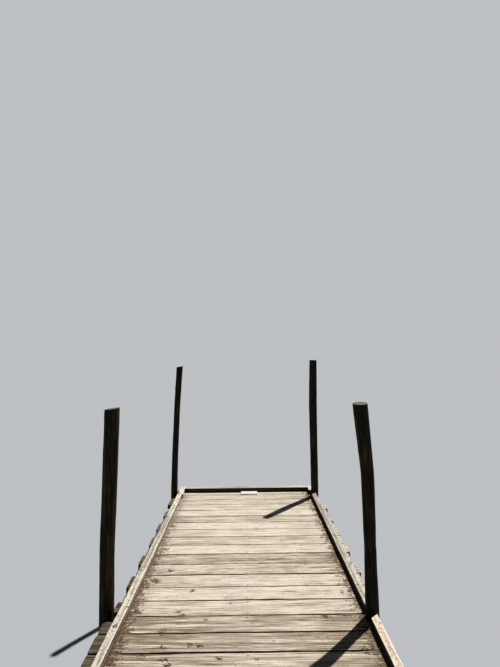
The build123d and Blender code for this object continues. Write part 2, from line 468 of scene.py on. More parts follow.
def buildTimberFinish(name, look):
    # kerbs, beams and stringers: the same sawn timber in other colours
    material, tree, shader = newMaterial(name)
    here = add(tree, "ShaderNodeTexCoord").outputs["Object"]
    grain = useGrain(tree, ringWidth=0.005, waviness=0.01, checkWidth=look["checkWidth"])
    spots = useStains(tree, here, patchSize=0.12, speckSize=0.011)
    foot = useGroup(tree, dampFoot, {"Place": here, "Water Line": look["dampLevel"], "Reach": 0.08})
    wear, tone, soil, fresh = [field(tree, label) for label in ("wear", "tone", "soil", "fresh")]
    mottle = noise(tree, here, 42.0, 5.0, 0.75)
    aged = timesPlus(tree, tone, -0.3, 0.5)
    aged = weigh(tree, aged, (grain["Bands"], 0.7), (grain["Streaks"], 0.9), (grain["Lines"], 0.9),
                 (grain["Rings"], 0.3), (mottle, look["mottle"]))
    colour = blend(tree, aged, look["pale"], look["brown"])
    colour = cover(tree, colour, look, (spots["Patches"], 0.5, "grey"), (wear, look["wornShare"], "worn"))
    # newer timber keeps its warm colour between the worn arrises
    warm = times(tree, fresh, calc(tree, "SUBTRACT", 0.9, times(tree, wear, 0.9)))
    colour = blend(tree, warm, colour, look["fresh"])
    light = timesPlus(tree, tone, look["toneReach"], look["toneMiddle"])
    colour = blend(tree, 1.0, colour, light, mode="MULTIPLY")
    colour = blend(tree, remap(tree, mottle, 0.54, 0.64, 0.0, 0.7), colour, look["speck"])
    colour = cover(tree, colour, look, (spots["Specks"], 0.65, "speck"), (grain["Dashes"], 0.6, "speck"))
    # earth on the lowest of the flanks, where they stand on the boards
    level = add(tree, "ShaderNodeSeparateXYZ", {0: here}).outputs["Z"]
    low = remap(tree, level, look["earthLevel"] + 0.035, look["earthLevel"])
    colour = cover(tree, colour, look, (low, 0.8, "speck"))
    facing = add(tree, "ShaderNodeNewGeometry").outputs["Normal"]
    upward = add(tree, "ShaderNodeSeparateXYZ", {0: facing}).outputs["Z"]
    colour = cover(tree, colour, look, (remap(tree, upward, 0.8, 0.4), soil, "flank"))
    # painted shade on the faces turned away from the sun
    shade = useGroup(tree, paintedShadeSide, {"Normal": facing})
    colour = cover(tree, colour, look, (shade["Shady"], look["paintedShadeShare"], "shady"),
                   (grain["Knots"], 0.85, "knot"), (grain["Knot Rim"], 0.7, "crack"),
                   (grain["Checks"], 0.9, "crack"), (foot["Damp"], 0.6, "damp"))
    rough = remap(tree, foot["Damp"], 0.0, 1.0, 0.88, 0.62)
    height = timesPlus(tree, grain["Checks"], -1.4, grainRelief(tree, grain))
    inputs = {"Base Color": colour, "Roughness": rough, "Specular IOR Level": dullSheen}
    finishSurface(tree, shader, inputs, height, 0.7, 0.0012)
    return material


pileFinish = dict(
    bark=paint(29, 25, 11), brown=paint(84, 66, 30), algae=paint(54, 60, 20), black=paint(7, 6, 3),
    crack=paint(5, 4, 3), damp=paint(24, 23, 14), slime=paint(44, 52, 24), end=paint(150, 139, 119),
    waterLine=0.6)


def buildPileWood():
    look = pileFinish
    material, tree, shader = newMaterial("pileWood")
    here = add(tree, "ShaderNodeTexCoord").outputs["Object"]
    grain = useGrain(tree, ringWidth=0.005, waviness=0.008, checkWidth=0.022)
    foot = useGroup(tree, dampFoot, {"Place": here, "Water Line": look["waterLine"], "Reach": 0.12})
    colour = blend(tree, grain["Streaks"], look["bark"], look["black"])
    brown = streaky(tree, here, (52.0, 52.0, 4.0), 5.0, 0.7)
    brown = timesPlus(tree, field(tree, "tone"), 0.03, brown)
    colour = blend(tree, remap(tree, brown, 0.5, 0.66, 0.0, 0.75), colour, look["brown"])
    green = streaky(tree, here, (34.0, 34.0, 5.5), 5.0, 0.7)
    colour = blend(tree, remap(tree, green, 0.5, 0.68, 0.0, 0.7), colour, look["algae"])
    colour = cover(tree, colour, look, (grain["Lines"], 0.5, "black"), (grain["Knot Rim"], 0.5, "black"),
                   (grain["Checks"], 0.85, "crack"), (foot["Slime"], 0.6, "slime"),
                   (foot["Damp"], 0.6, "damp"))
    rough = remap(tree, foot["Damp"], 0.0, 1.0, 0.85, 0.5)
    height = calc(tree, "ADD", times(tree, grain["Streaks"], 0.5), times(tree, grain["Fibre"], 0.35))
    height = calc(tree, "SUBTRACT", height, times(tree, grain["Checks"], 1.6))
    inputs = {"Base Color": colour, "Roughness": rough, "Specular IOR Level": dullSheen}
    finishSurface(tree, shader, inputs, height, 0.8, 0.002)
    return material


def buildPileEnd():
    look = pileFinish
    material, tree, shader = newMaterial("pileEndGrain")
    here = add(tree, "ShaderNodeTexCoord").outputs["Object"]
    noKnot = (farFromKnot, farFromKnot, farFromKnot)
    grain = useGrain(tree, ringWidth=0.0045, waviness=0.004, checkWidth=0.02, knot=noKnot)
    spots = useStains(tree, here, patchSize=0.05, speckSize=0.004)
    colour = blend(tree, times(tree, grain["Rings"], 0.6), look["end"], look["brown"])
    colour = cover(tree, colour, look, (spots["Patches"], 0.5, "bark"))
    colour = cover(tree, colour, look, (field(tree, "wear"), 0.7, "bark"))
    height = calc(tree, "ADD", grain["Rings"], spots["Grit"])
    finishSurface(tree, shader, {"Base Color": colour, "Roughness": 0.9}, height, 0.6, 0.0012)
    return material


def buildIron(name, look):
    material, tree, shader = newMaterial(name)
    here = add(tree, "ShaderNodeTexCoord").outputs["Object"]
    spots = useStains(tree, here, patchSize=0.012, speckSize=0.002)
    colour = blend(tree, spots["Patches"], look["bright"], look["rust"])
    # the dark rim: rust specks, and on a nail's dent the painted shadow
    rim = calc(tree, "MAXIMUM", times(tree, spots["Specks"], 0.6), field(tree, "wear"))
    colour = blend(tree, rim, colour, look["black"])
    inputs = {"Base Color": colour, "Metallic": remap(tree, spots["Patches"], 0.0, 1.0, look["shine"], 0.1),
              "Roughness": remap(tree, spots["Patches"], 0.0, 1.0, 0.45, 0.85)}
    finishSurface(tree, shader, inputs, spots["Grit"], 0.5, 0.0004)
    return material


def buildPlateFinish(look):
    material, tree, shader = newMaterial("whitePlate")
    here = add(tree, "ShaderNodeTexCoord").outputs["Object"]
    spots = useStains(tree, here, patchSize=0.05, speckSize=0.003)
    colour = blend(tree, times(tree, spots["Patches"], 0.25), look["white"], look["dull"])
    colour = cover(tree, colour, look, (field(tree, "wear"), 0.2, "edge"))
    colour = cover(tree, colour, look, (spots["Specks"], 0.25, "speck"))
    inputs = {"Base Color": colour, "Roughness": remap(tree, spots["Patches"], 0.0, 1.0, 0.32, 0.5)}
    finishSurface(tree, shader, inputs, spots["Grit"], 0.15, 0.0003)
    return material


def buildDirtFinish(look):
    # crumbs of earth and rust, each with its own tone: dark under 0, rusty from 0.7 on
    material, tree, shader = newMaterial("deckEarth")
    here = add(tree, "ShaderNodeTexCoord").outputs["Object"]
    spots = useStains(tree, here, patchSize=0.01, speckSize=0.002)
    colour = blend(tree, remap(tree, field(tree, "tone"), 0.0, 0.7), look["earth"], look["pale"])
    colour = blend(tree, remap(tree, field(tree, "tone"), 0.7, 1.0), colour, look["rust"])
    colour = blend(tree, remap(tree, field(tree, "tone"), 0.0, -0.3), colour, look["dark"])
    colour = cover(tree, colour, look, (spots["Patches"], 0.4, "black"))
    inputs = {"Base Color": colour, "Roughness": remap(tree, spots["Patches"], 0.0, 1.0, 0.85, 0.98)}
    finishSurface(tree, shader, inputs, spots["Grit"], 0.5, 0.0005)
    return material


# in these finishes, shady is the colour of the painted shade on faces turned away from the sun
kerbFinish = dict(
    pale=paint(238, 227, 209), brown=paint(140, 124, 101), worn=paint(250, 243, 230),
    grey=paint(176, 167, 153), speck=paint(92, 79, 61), knot=paint(84, 76, 61), crack=paint(32, 26, 20),
    shady=paint(34, 28, 21), flank=paint(104, 87, 63), fresh=paint(222, 190, 150), damp=paint(60, 52, 38),
    paintedShadeShare=0.97, wornShare=0.9, mottle=3.0, toneMiddle=0.93, toneReach=0.2, checkWidth=0.02,
    earthLevel=1.05, dampLevel=-1.0)  # a level of -1 is under the feet: none of it shows
underDeckFinish = dict(
    flank=paint(80, 68, 50), fresh=paint(150, 124, 92), paintedShadeShare=0.3, wornShare=0.4, mottle=1.0,
    toneMiddle=1.0, toneReach=0.1, earthLevel=-1.0)
beamFinish = dict(
    underDeckFinish, pale=paint(108, 94, 71), brown=paint(74, 61, 43), worn=paint(120, 107, 84),
    grey=paint(90, 86, 71), speck=paint(50, 42, 31), knot=paint(50, 36, 24), crack=paint(20, 16, 12),
    shady=paint(62, 54, 40), damp=paint(40, 40, 26), dampLevel=0.72, checkWidth=0.024)
stringerFinish = dict(
    underDeckFinish, pale=paint(134, 119, 95), brown=paint(94, 79, 59), worn=paint(134, 122, 100),
    grey=paint(112, 106, 91), speck=paint(62, 53, 40), knot=paint(62, 46, 31), crack=paint(26, 20, 15),
    shady=paint(76, 66, 50), damp=paint(50, 46, 32), dampLevel=-1.0, checkWidth=0.02)
nailFinish = dict(bright=paint(238, 234, 227), rust=paint(120, 104, 84), black=paint(40, 28, 20), shine=0.15)
boltFinish = dict(bright=paint(130, 130, 128), rust=paint(108, 66, 40), black=paint(40, 28, 20), shine=0.75)
plateFinish = dict(white=paint(246, 246, 243), dull=paint(226, 226, 220), edge=paint(190, 188, 178),
                   speck=paint(160, 150, 134))
dirtFinish = dict(earth=paint(78, 61, 42), pale=paint(118, 94, 66), rust=paint(150, 80, 40),
                  dark=paint(56, 37, 20), black=paint(36, 27, 19))

boardWood = buildBoardWood()
kerbWood = buildTimberFinish("kerbWood", kerbFinish)
beamWood = buildTimberFinish("beamWood", beamFinish)
stringerWood = buildTimberFinish("stringerWood", stringerFinish)
pileWood = buildPileWood()
pileEndGrain = buildPileEnd()
nailIron = buildIron("nailIron", nailFinish)
boltIron = buildIron("boltIron", boltFinish)
whitePlate = buildPlateFinish(plateFinish)
deckEarth = buildDirtFinish(dirtFinish)
print("materials made")


# piles, bent by bent from the shore: place at the deck, lean to the top, bow at one and two thirds,
# height over the deck, and diameters at the foot, the deck, those thirds and the top
deckTop = 1.05
beamLevels = (0.705, 0.855)
housingHalf = 0.033
bentCount = 5


def stem(x, y, lean, bow, height, girth):
    return dict(x=x, y=y, lean=lean, bow=bow, height=height, girth=girth)


piles = {
    "left": [
        stem(-0.862, -5.492, 0.014, (-0.006, -0.004), 1.29, (0.104, 0.098, 0.096, 0.093, 0.092)),
        stem(-0.853, -2.764, -0.022, (0.003, 0.005), 1.42, (0.096, 0.088, 0.086, 0.083, 0.08)),
        stem(-0.868, 0.010, 0.018, (0.007, 0.004), 1.37, (0.102, 0.094, 0.092, 0.088, 0.086)),
        stem(-0.8835, 2.785, 0.0315, (-0.0075, -0.003), 1.315, (0.102, 0.096, 0.096, 0.098, 0.099)),
        stem(-0.848, 5.5, 0.07, (-0.009, -0.009), 1.53, (0.084, 0.077, 0.073, 0.071, 0.077)),
    ],
    "right": [
        stem(0.789, -5.506, -0.016, (0.004, 0.006), 1.35, (0.1, 0.092, 0.09, 0.086, 0.084)),
        stem(0.795, -2.738, 0.012, (-0.008, -0.005), 1.48, (0.092, 0.084, 0.083, 0.082, 0.08)),
        stem(0.786, -0.009, -0.02, (0.006, 0.009), 1.31, (0.098, 0.09, 0.088, 0.085, 0.084)),
        stem(0.7875, 2.744, -0.0525, (0.0115, 0.0215), 1.336, (0.098, 0.089, 0.077, 0.086, 0.098)),
        stem(0.802, 5.5, 0.004, (-0.004, -0.009), 1.59, (0.093, 0.088, 0.089, 0.096, 0.088)),
    ],
}
# the slant of each top's saw cut: the direction of its low side in degrees, and its fall across the top
pileCuts = {
    ("left", 4): (190, 0.012), ("left", 5): (180, 0.010),
    ("right", 4): (250, 0.012), ("right", 5): (40, 0.004)}
# a pile's stem: its sides and rings, lumps, branch stubs, drying cracks, worn foot and sawn top
bark = dict(
    sides=44, step=0.021, endRings=(0.9, 0.74, 0.55, 0.36, 0.18),
    bite=0.0012, lump=0.0006,  # how far the bark lies inside the solid, and how lumpy it is
    twist=0.12, twistStray=(0.10, 1.6),  # the grain's turn to the metre, and how it strays on the way up
    stubs=7, stubHigh=0.0022, stubSize=(0.03, 0.5), stubKnot=0.014,  # the size is up the stem and round it
    cracks=4, crackHalf=0.035, crackDepth=(0.005, 0.010), crackFade=0.25,
    crackStart=(0.1, 1.2), crackLength=(0.6, 1.2), footWear=0.0006, footHigh=0.2,
    topWear=((-1, 0.0022), (-2, 0.0007)), cutFall=(0.002, 0.010), cutHigh=0.08, sawMarks=0.0012)


def beamNormal(bent):
    # square to the line that joins the bent's two piles
    left, right = piles["left"][bent], piles["right"][bent]
    run = np.array([right["x"] - left["x"], right["y"] - left["y"]])
    run /= np.linalg.norm(run)
    return np.array([-run[1], run[0]])


def pilePart(side, number):
    pile = piles[side][number - 1]
    seed = 300 + number + (10 if side == "right" else 0)
    rng = np.random.default_rng(seed)
    top = deckTop + pile["height"]
    third = pile["height"] / 3
    levels = [0.0, deckTop, deckTop + third, deckTop + 2 * third, top]
    lean, bow = pile["lean"], pile["bow"]
    middles = [pile["x"] - lean / 2 * deckTop / pile["height"], pile["x"],
               pile["x"] + lean / 3 + bow[0], pile["x"] + lean * 2 / 3 + bow[1], pile["x"] + lean]
    low, high = beamLevels
    must = [0, 0.002, low - skin, low + 0.0004, high - 0.0004, high + skin, top - 0.006, top - 0.002, top]
    heights = gridLines(must, np.arange(0.02, top, bark["step"]), 0.004)
    # a ring of angles, with close groups of three where a drying crack runs
    cracks = sorted(rng.uniform(0, math.tau, bark["cracks"]))
    atCracks = [crack + s for crack in cracks for s in (-bark["crackHalf"], 0, bark["crackHalf"])]
    angles = gridLines(atCracks, np.arange(0, math.tau, math.tau / bark["sides"]), 0.05)
    z = heights[:, None] + 0 * angles[None, :]
    twist = wander(heights, seed + 1, *bark["twistStray"])[:, None] + bark["twist"] * heights[:, None]
    turn = angles[None, :] + twist
    middle = np.interp(heights, levels, middles)[:, None]
    radius = np.interp(heights, levels, np.array(pile["girth"]) / 2)[:, None] + 0 * z
    lumps = relief(z, np.sin(turn) * 0.05, seed + 2, bark["lump"], 0.5, 0.06)
    lumps = lumps + relief(z, np.cos(turn) * 0.05, seed + 3, bark["lump"], 0.3, 0.05)
    radius = radius - bark["bite"] + lumps - bark["footWear"] * np.clip(1 - z / bark["footHigh"], 0, 1)
    # branch stubs swell the stem a little
    stubHigh, stubWide = bark["stubSize"]
    stubs = []
    for _ in range(bark["stubs"]):
        level, way = rng.uniform(0.15, top - 0.1), rng.uniform(0, math.tau)
        away = np.hypot((z - level) / stubHigh, ((turn - way + math.pi) % math.tau - math.pi) / stubWide)
        radius = radius + bark["stubHigh"] * np.exp(-away ** 2)
        stubs.append((level, way))
    crackDepth = np.zeros_like(z)
    for k, crack in enumerate(cracks):
        start = rng.uniform(*bark["crackStart"])
        # every other one runs out at the top
        end = top + 0.2 if k % 2 == 0 else start + rng.uniform(*bark["crackLength"])
        gape = ramp(np.minimum(z - start, end - z), bark["crackFade"])
        near = np.abs(angles[None, :] - crack) < 1e-4
        crackDepth = crackDepth + near * gape * rng.uniform(*bark["crackDepth"])
    radius = radius - crackDepth
    x = middle + radius * np.cos(turn)
    y = pile["y"] + radius * np.sin(turn)
    # flats where the two beam planks clamp it
    normal = beamNormal(number - 1)
    housed = (z > low) & (z < high)
    away = (x - pile["x"]) * normal[0] + (y - pile["y"]) * normal[1]
    over = np.where(housed, away - np.clip(away, -housingHalf, housingHalf), 0)
    x, y = x - over * normal[0], y - over * normal[1]
    # the saw cut on top falls to one side
    way, fall = pileCuts.get((side, number), (rng.uniform(0, 360), rng.uniform(*bark["cutFall"])))
    cutX, cutY = math.cos(math.radians(way)), math.sin(math.radians(way))
    topRadius = pile["girth"][4] / 2

    def cutLevel(px, py):
        across = ((px - middles[4]) * cutX + (py - pile["y"]) * cutY) / topRadius
        marks = bark["sawMarks"] * (np.sin(px * 190 + seed) * np.sin(py * 170) + 1) / 2
        return top - skin - fall * (across + 1) / 2 - marks

    base = top - bark["cutHigh"]
    z = np.where(z > base, base + (z - base) * (cutLevel(x, y) - base) / (top - base), z)
    rings, count = z.shape
    # the arris at the top is worn round
    for ring, shrink in bark["topWear"]:
        pull = 1 - shrink / topRadius
        x[ring] = middles[4] + (x[ring] - middles[4]) * pull
        y[ring] = pile["y"] + (y[ring] - pile["y"]) * pull
    points = np.stack([x, y, z], -1).reshape(-1, 3)
    faces = stackFaces(rings, count)
    faces.append(list(range(count - 1, -1, -1)))
    finish = [0] * len(faces)
    # end grain: rings of points inwards, cracked where the stem is
    last = (rings - 1) * count
    edge = points[last:]
    wearing = [np.zeros(len(points))]
    for share in bark["endRings"]:
        inner = edge.copy()
        inner[:, 0] = middles[4] + (edge[:, 0] - middles[4]) * share
        inner[:, 1] = pile["y"] + (edge[:, 1] - pile["y"]) * share
        inner[:, 2] = cutLevel(inner[:, 0], inner[:, 1]) - crackDepth[-1] * share * 0.8
        start = len(points)
        points = np.concatenate([points, inner])
        wearing.append(np.full(count, max(0.0, share - 0.7) * 3))
        faces += bandFaces(last, start, count)
        last = start
    centre = len(points)
    points = np.concatenate([points, [[middles[4], pile["y"], float(cutLevel(middles[4], pile["y"]))]]])
    wearing.append(np.zeros(1))
    faces += [[last + a, last + (a + 1) % count, centre] for a in range(count)]
    finish += [1] * (len(faces) - len(finish))
    stemX = np.interp(points[:, 2], levels, middles)
    grain = np.stack([points[:, 2] + seed, points[:, 0] - stemX, points[:, 1] - pile["y"]], -1)
    knots = []
    for level, way in stubs:
        radius = float(np.interp(level, levels, np.array(pile["girth"]) / 2))
        knotX = float(np.interp(level, levels, middles)) + radius * math.cos(way)
        knots.append(((knotX, pile["y"] + radius * math.sin(way), level), bark["stubKnot"]))
    fields = dict(grainPlace=grain, knotPlace=knotOffsets(points, knots),
                  tone=np.full(len(points), rng.uniform(-1, 1)), wear=np.concatenate(wearing))
    return dict(points=points, faces=faces, finish=finish, fields=fields)


for side in ("left", "right"):
    for number in range(1, bentCount + 1):
        makePiece(f"pile_{side}_{number}_log", [pilePart(side, number)], [pileWood, pileEndGrain],
                  [f"pile_{side}_{number}"], crease=50)
print("piles made")


# deck boards, numbered from the shore
deck = dict(
    count=58, width=0.195, gap=0.004, length=1.708, thickness=0.045, lakeEnd=5.769,
    # how far the boards lie to the right, from the lake end and then again
    shifts=(-0.020, -0.018, -0.022, 0.018, -0.006, 0.013, -0.006, 0.010, -0.002,
            0.016, -0.008, 0.018, -0.005, 0.016, -0.010, -0.034, -0.034, -0.031),
    notchGap=0.010, arris=0.0035, underArris=0.0015, cup=0.0012, grainStep=0.026, crossStep=0.0168,
    edgeSteps=(0.0012, 0.003, 0.0065, 0.012), dirtyEdge=0.02)
boardWear = dict(  # pairs are a range to draw from; a board has one to three splits
    splitCount=(1, 4), splitLength=(0.25, 0.8), splitDepth=(0.002, 0.006), splitHalf=(0.0008, 0.0016),
    splitAcross=0.08, splitFade=0.08, atEnd=0.5,  # atEnd is the share of the splits that start at an end
    sideStray=(0.0011, 0.6), endStray=(0.0016, 0.08), slant=0.02, endFade=0.05,  # strays: size and wave
    chip=(0.001, 0.009), chipWide=(0.018, 0.05), topRelief=0.00035, underRelief=0.0003,
    knotShare=0.45, knotSize=(0.006, 0.013), tone=(-0.8, 0.7), soilLeft=(0.1, 0.8), soilRight=(0, 0.6))
boardTones = {  # the boards that stand out: lighter over 0, darker under it
    57: 0.0, 56: 0.05, 55: 0.05, 54: 0.2, 53: 0.85, 52: -0.45, 51: 0.9, 50: 0.6, 49: 0.0, 48: 1.1, 47: -0.85,
    46: -0.4, 45: 0.25, 44: 0.4, 43: -0.2, 42: -0.9, 41: -1.25, 40: -0.65,
}
boardSoil = {  # how dirty the two ends are, left and right; a clean end is 0
    57: (0.3, 0.4), 56: (0.0, 0.7), 55: (0.4, 0.1), 54: (0.5, 0.2), 53: (0.5, 0.0), 52: (1.2, -0.5),
    51: (1.0, 0.3), 50: (0.9, -0.3), 49: (0.7, 0.1), 48: (0.7, 0.1), 47: (0.2, 0.9), 46: (0.0, 0.7),
    45: (0.6, 0.1), 44: (0.6, 0.1), 43: (0.3, 0.3), 42: (0.7, 0.7), 41: (0.8, 0.6), 40: (1.6, 0.4),
}
wideGaps = {  # what the gap on a board's shore side has opened by
    53: 0.002, 52: 0.003, 48: 0.003, 46: 0.007, 44: 0.003, 43: 0.003, 42: 0.006, 41: 0.005}
boardKnots = {  # across and along the board's middle, and the knot's radius
    51: [(0.091, -0.079, 0.012)], 43: [(-0.106, 0.055, 0.010)], 42: [(-0.255, 0.047, 0.013)],
    41: [(0.160, 0.048, 0.008), (0.156, 0.008, 0.007), (0.412, 0.038, 0.010)], 40: [(0.056, 0.031, 0.012)],
}
brokenEnd = dict(board=42, size=0.008, start=0.02, wide=0.04)  # a left end that has lost its corner
bayOf = [0] * 16 + [1] * 14 + [2] * 13 + [3] * 15
boardPitch = deck["width"] + deck["gap"]
topGrids = {}


def boardMiddle(index):
    return -deck["lakeEnd"] + deck["width"] / 2 + index * boardPitch


def boardNotches(y0):
    # the cuts round the piles, open to the outside, as x and y ranges from the board's middle line
    half = deck["width"] / 2
    notches = []
    for side in ("left", "right"):
        for pile in piles[side]:
            reach = pile["girth"][1] / 2 + deck["notchGap"]
            low, high = pile["y"] - reach - y0, pile["y"] + reach - y0
            if high > -half and low < half:
                inner = pile["x"] + (reach if side == "left" else -reach)
                notches.append((-9.0, inner, low, high) if side == "left" else (inner, 9.0, low, high))
    return notches


def boardSplits(left, right, rng):
    # drying splits that run along the board, some of them from an end
    across, splits = boardWear["splitAcross"], []
    for _ in range(rng.integers(*boardWear["splitCount"])):
        start = rng.uniform(left, right - 0.3)
        if rng.random() < boardWear["atEnd"]:
            start = left - 0.1 if rng.random() < 0.5 else right - rng.uniform(0.1, 0.4)
        splits.append(dict(v=rng.uniform(-across, across), start=start,
                           end=start + rng.uniform(*boardWear["splitLength"]),
                           depth=rng.uniform(*boardWear["splitDepth"]),
                           half=rng.uniform(*boardWear["splitHalf"])))
    return splits


def gridBlock(number, keep, total):
    # faces over the kept cells of a grid, the same below them, and walls where a neighbour is missing
    faces = []
    for i, j in zip(*np.nonzero(keep)):
        a, b, c, d = number[i, j], number[i + 1, j], number[i + 1, j + 1], number[i, j + 1]
        faces.append([a, b, c, d])
        faces.append([d + total, c + total, b + total, a + total])
        if i == 0 or not keep[i - 1, j]:
            faces.append([a, d, d + total, a + total])
        if i == keep.shape[0] - 1 or not keep[i + 1, j]:
            faces.append([c, b, b + total, c + total])
        if j == 0 or not keep[i, j - 1]:
            faces.append([b, a, a + total, b + total])
        if j == keep.shape[1] - 1 or not keep[i, j + 1]:
            faces.append([d, c, c + total, d + total])
    return faces


def boardPart(index):
    # u runs along the board from end to end, and v across it from the shore side to the lake side
    seed = 1000 + index * 7
    rng = np.random.default_rng(seed)
    y0 = boardMiddle(index)
    half = deck["width"] / 2
    shift = deck["shifts"][(deck["count"] - 1 - index) % len(deck["shifts"])]
    left, right = shift - deck["length"] / 2, shift + deck["length"] / 2
    notches = boardNotches(y0)
    arris = deck["arris"] * rng.uniform(0.8, 1.5)
    steps, wear = deck["edgeSteps"], boardWear
    splits = boardSplits(left, right, rng)
    mustV = [-half, half] + [split["v"] + k * split["half"] for split in splits for k in (-1, 0, 1)]
    alsoV = [-half + s for s in steps] + [half - s for s in steps]
    alsoV += list(np.arange(-0.084, 0.085, deck["crossStep"]))
    mustU, alsoU = [left, right], [left + s for s in steps] + [right - s for s in steps]
    for x0, x1, v0, v1 in notches:
        mustV += [v for v in (v0, v1) if -half < v < half]
        alsoV += [v0 - s for s in steps if v0 - s > -half] + [v1 + s for s in steps if v1 + s < half]
        inner = x1 if x0 < -1 else x0
        mustU.append(inner)
        alsoU += [inner + (s if x0 < -1 else -s) for s in steps]
    alsoU += list(np.arange(left + 0.02, right - 0.015, deck["grainStep"]))
    us, vs = gridLines(mustU, alsoU, 0.0007), gridLines(mustV, alsoV, 0.0006)
    u, v = np.meshgrid(us, vs, indexing="ij")
    edge = np.minimum(np.minimum(u - left, right - u), np.minimum(v + half, half - v))
    for x0, x1, v0, v1 in notches:
        du = np.maximum(np.maximum(x0 - u, u - x1), 0)
        dv = np.maximum(np.maximum(v0 - v, v - v1), 0)
        edge = np.minimum(edge, np.hypot(du, dv))
    # the top: cupped, trodden, split, and worn round at its edges
    worn = arris * np.clip(1 + wander(u + 3 * np.sign(v), seed + 3, 0.45, 0.5), 0.4, 2.5)
    crown = deck["cup"] * rng.choice((-1, 1)) * rng.uniform(0.3, 1.0)
    top = -skin + crown * (0.5 - (v / half) ** 2) + relief(u, v, seed + 4, wear["topRelief"], 0.9, 0.03)
    top += wander(u, seed + 9, 0.0006, 1.7)
    for split in splits:
        near = np.abs(v - split["v"]) < 1e-5
        gape = ramp(np.minimum(u - split["start"], split["end"] - u), wear["splitFade"])
        top = top - near * gape * split["depth"]
    top = deckTop + top - rounding(edge, worn)
    topGrids[index] = (us, vs + y0, top)
    # the outline strays inwards: worn sides, and ends that weren't sawn square
    inLow = np.abs(wander(us, seed + 5, *wear["sideStray"])) + rng.uniform(0, 0.001)
    inLow = inLow + wideGaps.get(index, 0.0)
    inHigh = np.abs(wander(us, seed + 6, *wear["sideStray"])) + rng.uniform(0, 0.001)
    bendV = ramp(-v, half) ** 3 * inLow[:, None] - ramp(v, half) ** 3 * inHigh[:, None]
    bendV = bendV + wander(u, seed + 7, 0.0012, 1.1) * (1 - (v / half) ** 2)
    slant = rng.uniform(-1, 1) * wear["slant"]
    inLeft = np.abs(wander(vs, seed + 8, *wear["endStray"]))
    inLeft = inLeft + np.maximum(slant * (vs + half * np.sign(slant)), 0)
    inRight = np.abs(wander(vs, seed + 10, *wear["endStray"])) + rng.uniform(0, 0.002)
    # corners chip off, and end grain crumbles between them
    for toward, inward in ((-1, inLeft), (1, inLeft), (-1, inRight), (1, inRight)):
        chip, wide = rng.uniform(*wear["chip"]), rng.uniform(*wear["chipWide"])
        inward += chip * ramp(vs * toward - half + wide, wide) ** 2
    if index == brokenEnd["board"]:
        inLeft = inLeft + brokenEnd["size"] * ramp(vs - brokenEnd["start"], brokenEnd["wide"]) ** 2
    fadeLeft = np.clip(1 - (u - left) / wear["endFade"], 0, 1) ** 1.5
    fadeRight = np.clip(1 - (right - u) / wear["endFade"], 0, 1) ** 1.5
    bendU = inLeft[None, :] * fadeLeft - inRight[None, :] * fadeRight
    # the cells outside the notches, and the numbers of their points, first on top and then below
    keep = np.ones((len(us) - 1, len(vs) - 1), bool)
    midU, midV = (us[:-1] + us[1:]) / 2, (vs[:-1] + vs[1:]) / 2
    for x0, x1, v0, v1 in notches:
        keep &= ~(((midU > x0) & (midU < x1))[:, None] & ((midV > v0) & (midV < v1))[None, :])
    used = np.zeros(u.shape, bool)
    for i in (0, 1):
        for j in (0, 1):
            used[i:i + keep.shape[0], j:j + keep.shape[1]] |= keep
    total = int(used.sum())
    number = np.full(u.shape, -1)
    number[used] = np.arange(total)
    bottom = deckTop - deck["thickness"] + rounding(edge, deck["underArris"])
    bottom = bottom + relief(u, v, seed + 12, wear["underRelief"], 0.9, 0.04) + 0.0004
    above = np.stack([(u + bendU)[used], (v + bendV)[used] + y0, top[used]], -1)
    below = np.stack([(u + bendU * 0.6)[used], (v + bendV * 0.6)[used] + y0, bottom[used]], -1)
    points = np.concatenate([above, below])
    # the heart of the log that this board was sawn from, which the rings circle
    heartV, heartZ = rng.uniform(-0.07, 0.07), deckTop - rng.uniform(0.03, 0.12)
    tilt, sway = rng.uniform(-0.03, 0.03), rng.uniform(-0.03, 0.03)
    grain = np.stack([points[:, 0] + index * 3.7,
                      points[:, 1] - y0 - heartV - sway * points[:, 0],
                      points[:, 2] - heartZ - tilt * points[:, 0]], -1)
    knots = [((x, y0 + along, deckTop), radius) for x, along, radius in boardKnots.get(index, [])]
    if rng.random() < wear["knotShare"]:
        knots.append(((rng.uniform(-0.7, 0.7), y0 + rng.uniform(-0.07, 0.07), deckTop),
                      rng.uniform(*wear["knotSize"])))
    tone = boardTones.get(index, rng.uniform(*wear["tone"]))
    near = np.clip(1 - edge[used] / deck["dirtyEdge"], 0, 1)
    soils = (rng.uniform(*wear["soilLeft"]), rng.uniform(*wear["soilRight"]))
    soilLeft, soilRight = boardSoil.get(index, soils)
    aside = ramp(np.abs(points[:, 0]) - 0.25, 0.4)
    fields = dict(grainPlace=grain, knotPlace=knotOffsets(points, knots),
                  tone=np.full(len(points), tone), wear=np.concatenate([near, near]),
                  soil=aside * np.where(points[:, 0] < 0, soilLeft, soilRight))
    return dict(points=points, faces=gridBlock(number, keep, total), fields=fields)


for bay in range(max(bayOf) + 1):
    boards = [boardPart(index) for index in range(deck["count"]) if bayOf[index] == bay]
    makePiece(f"deck_boards_bay_{bay + 1}_planks", boards, [boardWood],
              [f"deck_boards_bay_{bay + 1}"])
print("deck boards made")


# sawn timbers: kerbs, end kerb, beams and stringers. `inside` is how far their faces lie inside the
# solids', across and up, and `shares` and `round` are places on a side and on an arris
sawn = dict(
    arris=0.003, endArris=0.0016, sag=0.0008, splitHalf=0.022, splitFade=0.06, wornEdge=0.012, relief=0.0003,
    inside=(0.0004, 0.0002), shares=(0.0, 0.12, 0.3, 0.5, 0.7, 0.88, 1.0), round=(0.25, 0.5, 0.75))


